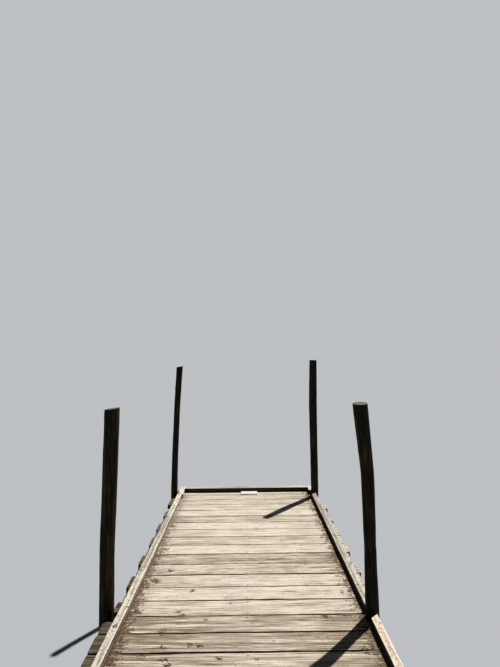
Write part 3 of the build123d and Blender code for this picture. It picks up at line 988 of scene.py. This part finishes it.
def timberRing(splits):
    # one ring of points: four sides, as (side, share along it, split number), and after each its arris,
    # as (side, "corner", how far round)
    ring = []
    for face in range(4):
        own = [(k, split[1]) for k, split in enumerate(splits) if split[0] == face]
        shares = [(share, -1) for share in sawn["shares"] if all(abs(share - at) > 0.06 for _, at in own)]
        for k, place in own:
            shares += [(place - sawn["splitHalf"], -1), (place, k), (place + sawn["splitHalf"], -1)]
        ring += [(face, share, k) for share, k in sorted(shares)]
        ring += [(face, "corner", turned) for turned in sawn["round"]]
    return ring


def timberPart(start, end, width, height, seed, arris=sawn["arris"], splits=(), knots=(), nose=None,
               step=0.024, sag=sawn["sag"], tones=None, soils=(0.1,), fresh=0.0):
    # swept from start to end; width lies flat across it and height stands up. Splits run in the top
    # or a side, as (face, place across, from, to, depth), and a nose is a bevel at the far end
    start, end = np.array(start, float), np.array(end, float)
    length = np.linalg.norm(end - start)
    along = (end - start) / length
    across = np.array([along[1], -along[0], 0.0])
    rng = np.random.default_rng(seed)
    tones = tones or [rng.uniform(-1, 1)]
    stations = [0.0, 0.0012, 0.004, length - 0.004, length - 0.0012, length]
    if nose:
        stations += [length - nose["run"]]
    s = gridLines(stations, np.arange(0.02, length - 0.01, step), 0.0009)
    ring = timberRing(splits)
    count = len(ring)
    radius = arris * np.clip(1 + wander(s, seed + 1, 0.4, 0.5), 0.5, 2.2)
    inset = rounding(np.minimum(s, length - s), sawn["endArris"])
    # a and w are each point's places across and up, from the timber's middle line
    a = np.zeros((len(s), count))
    w = np.zeros((len(s), count))
    wear = np.zeros((len(s), count))
    halfW, halfH = width / 2 - sawn["inside"][0], height / 2 - sawn["inside"][1]
    corners = [(halfW, -halfH), (halfW, halfH), (-halfW, halfH), (-halfW, -halfH)]
    for c, (face, share, k) in enumerate(ring):
        p, q = np.array(corners[face]), np.array(corners[(face + 1) % 4])
        side = np.linalg.norm(q - p)
        way = (q - p) / side
        inward = np.array([-way[1], way[0]])
        if share == "corner":
            angle = k * math.pi / 2
            centreA = q[0] - way[0] * radius + inward[0] * radius
            centreW = q[1] - way[1] * radius + inward[1] * radius
            a[:, c] = centreA + (way[0] * math.sin(angle) - inward[0] * math.cos(angle)) * radius
            w[:, c] = centreW + (way[1] * math.sin(angle) - inward[1] * math.cos(angle)) * radius
            wear[:, c] = 1.0
            continue
        place = radius + share * (side - 2 * radius)
        dip = np.abs(relief(s, np.full_like(s, share * side + face), seed + 2, sawn["relief"], 0.6, 0.02))
        if k >= 0:
            begin, stop, depth = splits[k][2:]
            dip = dip + depth * ramp(np.minimum(s - begin, stop - s), sawn["splitFade"])
        a[:, c] = p[0] + way[0] * place + inward[0] * dip
        w[:, c] = p[1] + way[1] * place + inward[1] * dip
        wear[:, c] = np.clip(1 - np.minimum(place, side - place) / sawn["wornEdge"], 0, 1)
    a = a * (1 - inset[:, None] / halfW)
    w = w * (1 - inset[:, None] / halfH)
    if nose:  # the side that faces inboard slants out to a thin nose
        cut = ramp(s - (length - nose["run"]), nose["run"])[:, None] * nose["depth"]
        a = a - nose["side"] * cut * ((nose["side"] * a + halfW) / (2 * halfW))
    swayA = wander(s, seed + 3, sag, 2.2)[:, None]
    swayW = -np.abs(wander(s, seed + 4, sag * 0.6, 2.6))[:, None] if sag else 0
    middle = start[None, None] + along[None, None] * s[:, None, None]
    aside = across[None, None] * (a + swayA)[:, :, None]
    upward = np.array([0, 0, 1.0]) * (w + swayW)[:, :, None]
    points = (middle + aside + upward).reshape(-1, 3)
    faces = [face[::-1] for face in stackFaces(len(s), count)]
    faces.append(list(range(count)))
    faces.append([(len(s) - 1) * count + c for c in range(count - 1, -1, -1)])
    # the heart of the log that this timber was sawn from, which the rings circle
    heart = (rng.uniform(-0.6, 0.6) * width, -rng.uniform(0.2, 1.2) * height)
    flatS = np.repeat(s, count)
    grain = np.stack([flatS + seed, a.ravel() - heart[0] + 0.012 * flatS,
                      w.ravel() - heart[1] + 0.008 * flatS], -1)
    knotSpots = [(start + along * where + across * sideways + np.array([0, 0, up]), size)
                 for where, sideways, up, size in knots]
    fields = dict(grainPlace=grain, knotPlace=knotOffsets(points, knotSpots),
                  tone=np.interp(flatS, np.linspace(0, length, len(tones)), tones), wear=wear.ravel(),
                  soil=np.interp(flatS, np.linspace(0, length, len(soils)), soils),
                  fresh=np.full(len(points), fresh))
    return dict(points=points, faces=faces, fields=fields)


def randomKnots(seed, length, width, height, every=0.45):
    # knots in the top or in a side: where along, sideways and up from the middle line, and the radius
    rng = np.random.default_rng(seed)
    knots = []
    for k in range(int(length / every)):
        where = (k + rng.uniform(0.2, 0.8)) * every
        if rng.random() < 0.5:
            knots.append((where, rng.uniform(-0.4, 0.4) * width, height / 2, rng.uniform(0.005, 0.011)))
        else:
            knots.append((where, rng.choice((-1, 1)) * width / 2, rng.uniform(-0.35, 0.35) * height,
                          rng.uniform(0.006, 0.012)))
    return knots


kerb = dict(size=0.05, middle=0.7785, arris=0.0052,
            # splits: face, place across, where it starts as a share of the length, its length and depth
            sideSplits=((0, 0.5, 0.1, 0.9, 0.003), (2, 0.45, 0.55, 0.8, 0.003)))
kerbLevel = deckTop + kerb["size"] / 2 - 0.0008
kerbRuns = {
    "kerb_left_1": dict(side=-1, y=(-5.763, -2.034), tones=(0.3, -0.1, 0.2)),
    "kerb_left_2": dict(side=-1, y=(-2.030, 1.698), tones=(-0.2, -0.4, 0.0)),
    "kerb_left_3": dict(
        side=-1, y=(1.702, 5.431),
        tones=(0.1, 0.05, 0.0, 0.35, 0.7, 0.58, 0.55, 0.5, -0.3, -0.5, 1.2, 1.6, 1.9),
        soils=(0.9, 0.85, 0.6, 0.1, 0.05, 0.0, 0.0), splits=[(1, 0.2, 0.5, 2.1, 0.006)],
        knots=[(0.878, 0.0, 0.025, 0.014), (1.138, -0.004, 0.025, 0.011)]),
    "kerb_right_shore": dict(side=1, y=(-5.763, -5.568), tones=(-0.2,)),
    "kerb_right_1": dict(side=1, y=(-5.444, -2.796), tones=(-0.3, 0.2)),
    "kerb_right_2": dict(side=1, y=(-2.680, -0.070), tones=(0.1, 0.5)),
    "kerb_right_3": dict(side=1, y=(0.052, 2.6835), tones=(0.3, 1.2), fresh=0.4,
                         nose=dict(run=0.048, depth=0.048, side=-1)),
    "kerb_right_4": dict(side=1, y=(2.8045, 5.440), tones=(0.0, -0.2, -0.43, -1.1, -0.55)),
}
lakeEndTimbers = dict(
    leftBlock=dict(x=-0.7695, y=(5.435, 5.763), turned=2.5, arris=0.004, tones=[1.4]),
    rightBlock=dict(x=0.765, y=(5.560, 5.763), arris=0.004, tones=[0.9]),
    endKerb=dict(x=(-0.7455, 0.736), y=5.723, depth=0.08, arris=0.0022, tones=[0.5],
                 splits=[(1, 0.6, 0.2, 1.1, 0.004), (0, 0.5, 0.6, 1.4, 0.003)]))
for number, (name, run) in enumerate(kerbRuns.items()):
    length = run["y"][1] - run["y"][0]
    x = run["side"] * kerb["middle"]
    knots = run.get("knots", [])
    if length > 0.3:
        knots = knots + randomKnots(40 + number, length, kerb["size"], kerb["size"])
    # one split in the top and one in each side
    splits = list(run.get("splits", []))
    if not splits:
        splits = [(1, 0.35 + 0.3 * (number % 2), 0.3 * length, 0.3 * length + 0.7, 0.005)]
    for face, place, start, long, depth in kerb["sideSplits"]:
        splits.append((face, place, start * length, start * length + long, depth))
    part = timberPart((x, run["y"][0], kerbLevel), (x, run["y"][1], kerbLevel), kerb["size"], kerb["size"],
                      60 + number, kerb["arris"], splits, knots, run.get("nose"), tones=run["tones"],
                      soils=run.get("soils", (0.5,)), fresh=run.get("fresh", 0.0))
    makePiece(name + "_timber", [part], [kerbWood], [name])


def turnedRun(x, yLow, yHigh, degrees):
    # the two ends of a block that is turned about its middle
    reach, turn = (yHigh - yLow) / 2, math.radians(degrees)
    middle = np.array([x, (yLow + yHigh) / 2, kerbLevel])
    arm = np.array([-math.sin(turn) * reach, math.cos(turn) * reach, 0])
    return middle - arm, middle + arm


block = lakeEndTimbers["leftBlock"]
part = timberPart(*turnedRun(block["x"], *block["y"], block["turned"]), kerb["size"], kerb["size"], 81,
                  block["arris"], tones=block["tones"])
makePiece("corner_block_left_timber", [part], [kerbWood], ["corner_block_left"])
block = lakeEndTimbers["rightBlock"]
ends = [(block["x"], y, kerbLevel) for y in block["y"]]
part = timberPart(*ends, kerb["size"], kerb["size"], 82, block["arris"], tones=block["tones"])
makePiece("corner_block_right_timber", [part], [kerbWood], ["corner_block_right"])
block = lakeEndTimbers["endKerb"]
ends = [(x, block["y"], kerbLevel) for x in block["x"]]
part = timberPart(*ends, block["depth"], kerb["size"], 83, block["arris"], block["splits"],
                  randomKnots(7, 1.48, block["depth"], kerb["size"]), tones=block["tones"])
makePiece("end_kerb_timber", [part], [kerbWood], ["end_kerb"])
print("kerbs made")

stringer = dict(places={"left": -0.69, "middle": 0.0, "right": 0.69}, level=0.93, width=0.075, depth=0.15,
                step=0.07, splits=[(0, 0.4, 0.8, 1.9, 0.004), (2, 0.62, 2.5, 3.9, 0.004)])
for row, (line, x) in enumerate(stringer["places"].items()):
    for number, (y0, y1) in enumerate(((-deck["lakeEnd"], 0.0), (0.0, deck["lakeEnd"])), 1):
        seed = 100 + number + 10 * row
        knots = randomKnots(seed, 5.7, stringer["width"], stringer["depth"])
        part = timberPart((x, y0, stringer["level"]), (x, y1, stringer["level"]), stringer["width"],
                          stringer["depth"], seed, splits=stringer["splits"], knots=knots,
                          step=stringer["step"])
        makePiece(f"stringer_{line}_{number}_timber", [part], [stringerWood],
                  [f"stringer_{line}_{number}"])

beam = dict(length=1.8784, thickness=0.045, depth=0.15, level=0.78, step=0.04,
            sawnBack={3: 0.024},  # shorter at the right of the fourth bent
            splits=[(0, 0.55, -0.1, 0.5, 0.004), (2, 0.4, 1.2, 2.0, 0.004)])
for bent in range(bentCount):
    left = piles["left"][bent]
    normal = beamNormal(bent)
    run = np.array([normal[1], -normal[0]])
    middle = np.array([0.0, left["y"] - left["x"] * (run[1] / run[0])])
    planks = []
    for k, face in enumerate((-1, 1)):
        centre = middle + normal * face * (housingHalf + beam["thickness"] / 2)
        near = centre - run * beam["length"] / 2
        far = centre + run * (beam["length"] / 2 - beam["sawnBack"].get(bent, 0.0))
        seed = 200 + bent * 2 + k
        knots = randomKnots(seed, 1.88, beam["thickness"], beam["depth"])
        planks.append(timberPart((*near, beam["level"]), (*far, beam["level"]), beam["thickness"],
                                 beam["depth"], seed, splits=beam["splits"], knots=knots, step=beam["step"]))
    makePiece(f"cross_beams_{bent + 1}_planks", planks, [beamWood], [f"cross_beams_{bent + 1}"])
print("beams and stringers made")

plate = dict(x=(-0.0665, 0.1285), y=5.6205, width=0.125, thick=0.012, arris=0.0012)
ends = [(x, plate["y"], deckTop + plate["thick"] / 2) for x in plate["x"]]
part = timberPart(*ends, plate["width"], plate["thick"], 90, plate["arris"], sag=0.0)
makePiece("marker_plate_blank", [part], [whitePlate], ["marker_plate"])


# nails and bolts
def lathePart(profile, sides, place, axis, turned, rusty=()):
    # turned from (radius, height) pairs about an axis through `place`; the rusty rings take the dark rim,
    # which is rust on a nail and painted shadow on a nail's dent
    spin = Vector(axis).normalized().to_track_quat("Z", "Y").to_matrix()
    points = []
    for radius, height in profile:
        for k in range(sides):
            angle = math.tau * k / sides + turned
            spot = Vector((radius * math.cos(angle), radius * math.sin(angle), height))
            points.append(list(spin @ spot + Vector(place)))
    faces = stackFaces(len(profile), sides)
    faces.append(list(range(sides - 1, -1, -1)))
    faces.append([(len(profile) - 1) * sides + k for k in range(sides)])
    wear = np.repeat([1.0 if k in rusty else 0.0 for k in range(len(profile))], sides)
    return dict(points=np.array(points), faces=faces, fields=dict(wear=wear))


def deckHeight(x, y):
    # how high the boards' surface is at a place on the deck
    index = int(np.clip(round((y - boardMiddle(0)) / boardPitch), 0, deck["count"] - 1))
    us, vs, top = topGrids[index]
    i = int(np.clip(np.searchsorted(us, x) - 1, 0, len(us) - 2))
    j = int(np.clip(np.searchsorted(vs, y) - 1, 0, len(vs) - 2))
    shareU = np.clip((x - us[i]) / (us[i + 1] - us[i]), 0, 1)
    shareV = np.clip((y - vs[j]) / (vs[j + 1] - vs[j]), 0, 1)
    low = top[i, j] * (1 - shareV) + top[i, j + 1] * shareV
    high = top[i + 1, j] * (1 - shareV) + top[i + 1, j + 1] * shareV
    return float(low * (1 - shareU) + high * shareU)


# the dent that the hammer left is a dark disc of painted shadow from its rim, and the head sits at its near
# side
nail = dict(head=0.006, dent=0.0092, offset=(-0.0006, -0.0034), proud=0.0013, fromEdge=0.026,
            lines=(-0.69, 0.003, 0.69), threeInMiddle=(41, 42), stray=(0.006, 0.005), tilt=0.06)
nailHead = [(0.0013, -0.02), (nail["head"], -0.0004), (nail["head"], 0.0003),
            (nail["head"] * 0.75, nail["proud"]), (nail["head"] * 0.3, nail["proud"] + 0.0004)]
nailDentShadow = [(nail["dent"] * 0.5, -0.0012), (nail["dent"], -0.0004), (nail["dent"] * 0.6, 0.0002)]
rng = np.random.default_rng(77)
strayX, strayY = nail["stray"]
heads = []
for index in range(deck["count"]):
    for x in nail["lines"]:
        threeNails = index in nail["threeInMiddle"] and x == nail["lines"][1]
        for side in (-1, 0, 1) if threeNails else (-1, 1):
            nailX = x + rng.uniform(-strayX, strayX)
            reach = deck["width"] / 2 - nail["fromEdge"] + rng.uniform(-strayY, strayY)
            nailY = boardMiddle(index) + side * reach
            axis = (rng.uniform(-nail["tilt"], nail["tilt"]), rng.uniform(-nail["tilt"], nail["tilt"]), 1)
            level = deckHeight(nailX, nailY)
            place = (nailX, nailY, level)
            # the dent: a dark disc of painted shadow from its rim
            heads.append(lathePart(nailDentShadow, 10, place, (0, 0, 1), rng.uniform(0, 1), (0, 1, 2)))
            place = (nailX + nail["offset"][0], nailY + nail["offset"][1], level)
            heads.append(lathePart(nailHead, 8, place, axis, rng.uniform(0, 1), (0,)))
makePiece("deck_nails", heads, [nailIron])

bolt = dict(level=0.78, washer=0.021, washerThick=0.003, hole=0.009, bevel=0.0006, across=0.0139,
            headHigh=0.010, nutHigh=0.013, chamfer=0.0012, thread=0.008, threads=5, pitch=0.002)
washer = [(bolt["washer"] - bolt["bevel"], -0.002), (bolt["washer"], 0.0),
          (bolt["washer"], bolt["washerThick"] - bolt["bevel"]),
          (bolt["washer"] - bolt["bevel"], bolt["washerThick"]), (bolt["hole"], bolt["washerThick"])]
seat = bolt["washerThick"] - 0.0004
ironwork = []
for bent in range(bentCount):
    normal = beamNormal(bent)
    outer = housingHalf + beam["thickness"] - skin
    for side in ("left", "right"):
        pile = piles[side][bent]
        for face in (-1, 1):  # the head is on the shore side and the nut on the lake side
            outX, outY = normal * face
            place = (pile["x"] + outX * outer, pile["y"] + outY * outer, bolt["level"])
            axis = (outX, outY, 0)
            ironwork.append(lathePart(washer, 28, place, axis, 0))
            high = bolt["headHigh"] if face < 0 else bolt["nutHigh"]
            hexagon = [(bolt["across"], seat), (bolt["across"], seat + high - bolt["chamfer"]),
                       (bolt["across"] * 0.86, seat + high)]
            ironwork.append(lathePart(hexagon, 6, place, axis, 0.3 + bent))
            if face < 0:
                continue
            ridges = []
            for k in range(bolt["threads"]):
                ridges += [(bolt["thread"] - 0.0008, seat + high - 0.001 + k * bolt["pitch"]),
                           (bolt["thread"], seat + high + k * bolt["pitch"])]
            ridges.append((bolt["thread"] - 0.0014, seat + high + 0.0095))
            ironwork.append(lathePart(ridges, 16, place, axis, 0))
makePiece("beam_bolts", ironwork, [boltIron], crease=30)
print("nails and bolts made")


# crumbs of earth and rust on the boards: along the kerbs' feet, in small heaps and strewn
crumbs = dict(
    left=dict(side=-1, count=1900, spread=0.035, sizes=(0.6, 1.0), tones=(-0.25, 0.85)),
    right=dict(side=1, count=500, spread=0.025, sizes=(0.4, 0.9), tones=(-0.25, 0.8)),
    strewn=dict(count=220, reach=0.74, sizes=(0.3, 0.8), tones=(-0.5, 0.5)),
    heap=dict(count=52, spread=0.014, wide=0.7, long=0.6, sizes=(0.6, 1.2), darkest=-0.35),
    small=0.0012, large=0.0056, longer=(0.6, 1.6), kerbFoot=0.7515, gapEdge=0.007, pileClear=(0.065, 0.075))
crumbHeaps = [  # place, how far it spreads and how rusty it is
    (-0.322, 2.470, 0.016, 0.7), (-0.269, 2.453, 0.014, 0.7), (-0.582, 3.465, 0.020, 0.7),
    (-0.379, 3.129, 0.014, 0.7), (-0.440, 2.836, 0.014, 0.7), (-0.406, 2.798, 0.014, 0.7),
    (-0.150, 2.330, 0.014, 0.7), (-0.673, 3.305, 0.024, 0.7), (-0.652, 3.272, 0.022, 0.7),
    (-0.452, 2.326, 0.018, 0.7), (-0.423, 2.281, 0.016, 0.7), (-0.476, 2.439, 0.018, 0.9),
    (0.493, 2.761, 0.022, 0.9), (0.627, 2.770, 0.022, 0.7), (0.663, 2.391, 0.026, 0.9),
    (-0.504, 2.603, 0.028, 1.15), (-0.574, 2.370, 0.018, 0.95), (-0.736, 2.654, 0.026, 1.2),
    (-0.730, 2.400, 0.030, 1.25), (-0.725, 2.300, 0.030, 1.25), (-0.700, 2.840, 0.026, 0.7),
    (-0.690, 3.900, 0.026, 0.7), (-0.715, 4.500, 0.026, 0.7), (0.700, 2.560, 0.020, 0.7),
]
wedgedShadeLumps = [  # lumps of earth held between a pile and the boards' notch, also a dark plug of painted shade that hides the lit floor below: place and size
    (0.738, 2.712, 0.013), (0.740, 2.728, 0.013), (0.739, 2.745, 0.012), (0.741, 2.762, 0.013)]
packed = dict(short=0.05, long=0.14, halfWidth=0.0075, under=0.0008, fall=0.010, deep=0.018,
              kerbFoot=0.7525, pileClear=0.08, rows=11, columns=4)


def crumbPart(x, y, size, tone, rng):
    # a flat, uneven lump of six sides that has settled a little into the wood
    sides = 6
    turns = np.sort(rng.uniform(0, math.tau / sides, sides) + np.arange(sides) * math.tau / sides)
    longer = rng.uniform(*crumbs["longer"])
    reach = size * rng.uniform(0.7, 1.1, sides)
    ground = deckHeight(x, y)
    way = rng.uniform(0, math.tau)
    px, py = reach * np.cos(turns) * longer, reach * np.sin(turns)
    ring = np.stack([x + px * math.cos(way) - py * math.sin(way), y + px * math.sin(way) + py * math.cos(way),
                     ground + size * rng.uniform(0.05, 0.25, sides)], -1)
    peak = [x, y, ground + size * rng.uniform(0.4, 0.8)]
    foot = [x, y, ground - size * 0.4]
    points = np.concatenate([ring, [peak, foot]])
    faces = [[k, (k + 1) % sides, sides] for k in range(sides)]
    faces += [[(k + 1) % sides, k, sides + 1] for k in range(sides)]
    return dict(points=points, faces=faces, fields=dict(tone=np.full(len(points), tone)))


def crumbPlaces(rng):
    # places to fill, with each crumb's size and tone
    lakeEnd = deck["lakeEnd"] - 0.1
    for row in (crumbs["left"], crumbs["right"]):
        for _ in range(row["count"]):
            x = row["side"] * (crumbs["kerbFoot"] - abs(rng.normal(0, row["spread"])))
            yield x, rng.uniform(-lakeEnd, lakeEnd), rng.uniform(*row["sizes"]), rng.uniform(*row["tones"])
    row = crumbs["strewn"]
    for _ in range(row["count"]):
        x = rng.uniform(-row["reach"], row["reach"])
        yield x, rng.uniform(-lakeEnd, lakeEnd), rng.uniform(*row["sizes"]), rng.uniform(*row["tones"])
    heap = crumbs["heap"]
    for heapX, heapY, spread, rusty in crumbHeaps:
        for _ in range(int(heap["count"] * spread / heap["spread"])):
            x, y = heapX + rng.normal(0, spread * heap["wide"]), heapY + rng.normal(0, spread * heap["long"])
            yield x, y, rng.uniform(*heap["sizes"]), rng.uniform(heap["darkest"], rusty)


def restsOnBoard(x, y, size):
    # clear of the gaps, the kerbs and the notches round the right piles
    away = (y - boardMiddle(0) + deck["width"] / 2) % boardPitch
    clear = crumbs["gapEdge"] + size
    if not clear < away < deck["width"] - clear or abs(x) + size * crumbs["longer"][1] > packed["kerbFoot"]:
        return False
    clearX, clearY = crumbs["pileClear"]
    return all(x < pile["x"] - clearX - size or abs(y - pile["y"]) > clearY + size for pile in piles["right"])


def packedEarth(index, side, rng):
    # a lumpy fill between two boards' worn edges, from the kerb's foot inwards
    reach = rng.uniform(packed["short"], packed["long"])
    middle = boardMiddle(index) + boardPitch / 2
    if side > 0 and any(abs(pile["y"] - middle) < packed["pileClear"] for pile in piles["right"]):
        return None
    inwards, along = np.linspace(0, 1, packed["rows"]), np.linspace(-1, 1, packed["columns"])
    s, t = np.meshgrid(inwards, along, indexing="ij")
    x = side * (packed["kerbFoot"] - s * reach)
    y = middle + t * packed["halfWidth"] + wander(s * reach, 700 + index * 3 + side, 0.0006, 0.05)
    top = deckTop - packed["under"] - packed["fall"] * s ** 3 + relief(x, y, index + 500, 0.0005, 0.02, 0.008)
    below = np.full_like(top, deckTop - packed["deep"])
    points = np.concatenate([np.stack([x, y, level], -1).reshape(-1, 3) for level in (top, below)])
    total = s.size
    number = np.arange(total).reshape(s.shape)
    faces = gridBlock(number, np.ones((packed["rows"] - 1, packed["columns"] - 1), bool), total)
    if side > 0:
        faces = [face[::-1] for face in faces]
    return dict(points=points, faces=faces, fields=dict(tone=np.full(2 * total, rng.uniform(0.1, 0.6))))


rng = np.random.default_rng(5)
lumps = []
for x, y, share, tone in crumbPlaces(rng):
    size = crumbs["small"] + (crumbs["large"] - crumbs["small"]) * share * rng.uniform(0.1, 1) ** 1.5
    if restsOnBoard(x, y, size):
        lumps.append(crumbPart(x, y, size, tone, rng))
# earth in the notch, put there also as painted shade
for x, y, size in wedgedShadeLumps:
    lumps.append(crumbPart(x, y, size, rng.uniform(0.0, 0.4), rng))
fills = [packedEarth(index, side, rng) for index in range(deck["count"] - 1) for side in (-1, 1)]
lumps += [lump for lump in fills if lump]
makePiece("deck_dirt", lumps, [deckEarth], crease=60)
print("dirt strewn,", len(lumps), "crumbs")


# floor, backdrop, light and camera
stage = dict(floor=paint(176, 179, 184), reach=3000.0, sky=(0.72, 0.83, 0.98, 1.0), skyStrength=0.065,
             sunStrength=4.2, sunColour=(1.0, 0.985, 0.955), sunSoftness=0.8, sunWay=(0.608, 0.794),
             sunHeight=58.0)
reach = stage["reach"]
floorMesh = bpy.data.meshes.new("floor")
floorMesh.from_pydata([(-reach, -reach, 0), (reach, -reach, 0), (reach, reach, 0), (-reach, reach, 0)],
                      [], [(0, 1, 2, 3)])
floor = bpy.data.objects.new("floor", floorMesh)
bpy.context.scene.collection.objects.link(floor)
floorPaint, floorTree, floorShader = newMaterial("floorPaint")
fill(floorTree, floorShader, {"Base Color": stage["floor"], "Roughness": 1.0, "Specular IOR Level": 0.0})
floorMesh.materials.append(floorPaint)
floor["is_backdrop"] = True

world = bpy.data.worlds.new("studio")
bpy.context.scene.world = world
world.use_nodes = True
worldTree = world.node_tree
sky = fill(worldTree, worldTree.nodes["Background"],
           {"Color": stage["sky"], "Strength": stage["skyStrength"]})
# past the floor's edge the camera sees a backdrop as bright as the sunlit floor
sunAngle = math.radians(stage["sunHeight"])
sunOnFloor = stage["sunStrength"] * math.sin(sunAngle) / math.pi
floorSeen = [stage["floor"][k] * (sunOnFloor * stage["sunColour"][k] + stage["skyStrength"] * stage["sky"][k])
             for k in range(3)]
backdrop = add(worldTree, "ShaderNodeBackground", {"Color": (*floorSeen, 1.0)})
path = add(worldTree, "ShaderNodeLightPath")
seen = add(worldTree, "ShaderNodeMixShader", {
    0: path.outputs["Is Camera Ray"], 1: sky.outputs[0], 2: backdrop.outputs[0]})
worldTree.links.new(seen.outputs[0], worldTree.nodes["World Output"].inputs["Surface"])

sunLight = bpy.data.lights.new("keyLight", "SUN")
sunLight.energy = stage["sunStrength"]
sunLight.angle = math.radians(stage["sunSoftness"])
sunLight.color = stage["sunColour"]
sun = bpy.data.objects.new("keyLight", sunLight)
bpy.context.scene.collection.objects.link(sun)
sunX, sunY = stage["sunWay"]
toSun = Vector((sunX * math.cos(sunAngle), sunY * math.cos(sunAngle), math.sin(sunAngle)))
sun.rotation_mode = "QUATERNION"
sun.rotation_quaternion = toSun.to_track_quat("Z", "Y")

cameraPlace = dict(
    place=(0.014, -0.463, 2.681), right=(0.99992964, -0.00717783, -0.00944392),
    up=(0.00909747, -0.04685525, 0.99886026), ahead=(0.00761214, 0.9988759, 0.04678666),
    lens=27.04, sensor=36.0, nearest=0.05, farthest=9000.0)
cameraData = bpy.data.cameras.new("photoCamera")
cameraData.lens = cameraPlace["lens"]
cameraData.sensor_width = cameraPlace["sensor"]
cameraData.clip_start = cameraPlace["nearest"]
cameraData.clip_end = cameraPlace["farthest"]
camera = bpy.data.objects.new("photoCamera", cameraData)
bpy.context.scene.collection.objects.link(camera)
turn = Matrix((cameraPlace["right"], cameraPlace["up"], -Vector(cameraPlace["ahead"]))).transposed().to_4x4()
camera.matrix_world = Matrix.Translation(cameraPlace["place"]) @ turn
bpy.context.scene.camera = camera
bpy.context.scene.view_settings.view_transform = "Standard"
print("stage set")

# the visual model's box
low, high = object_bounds()
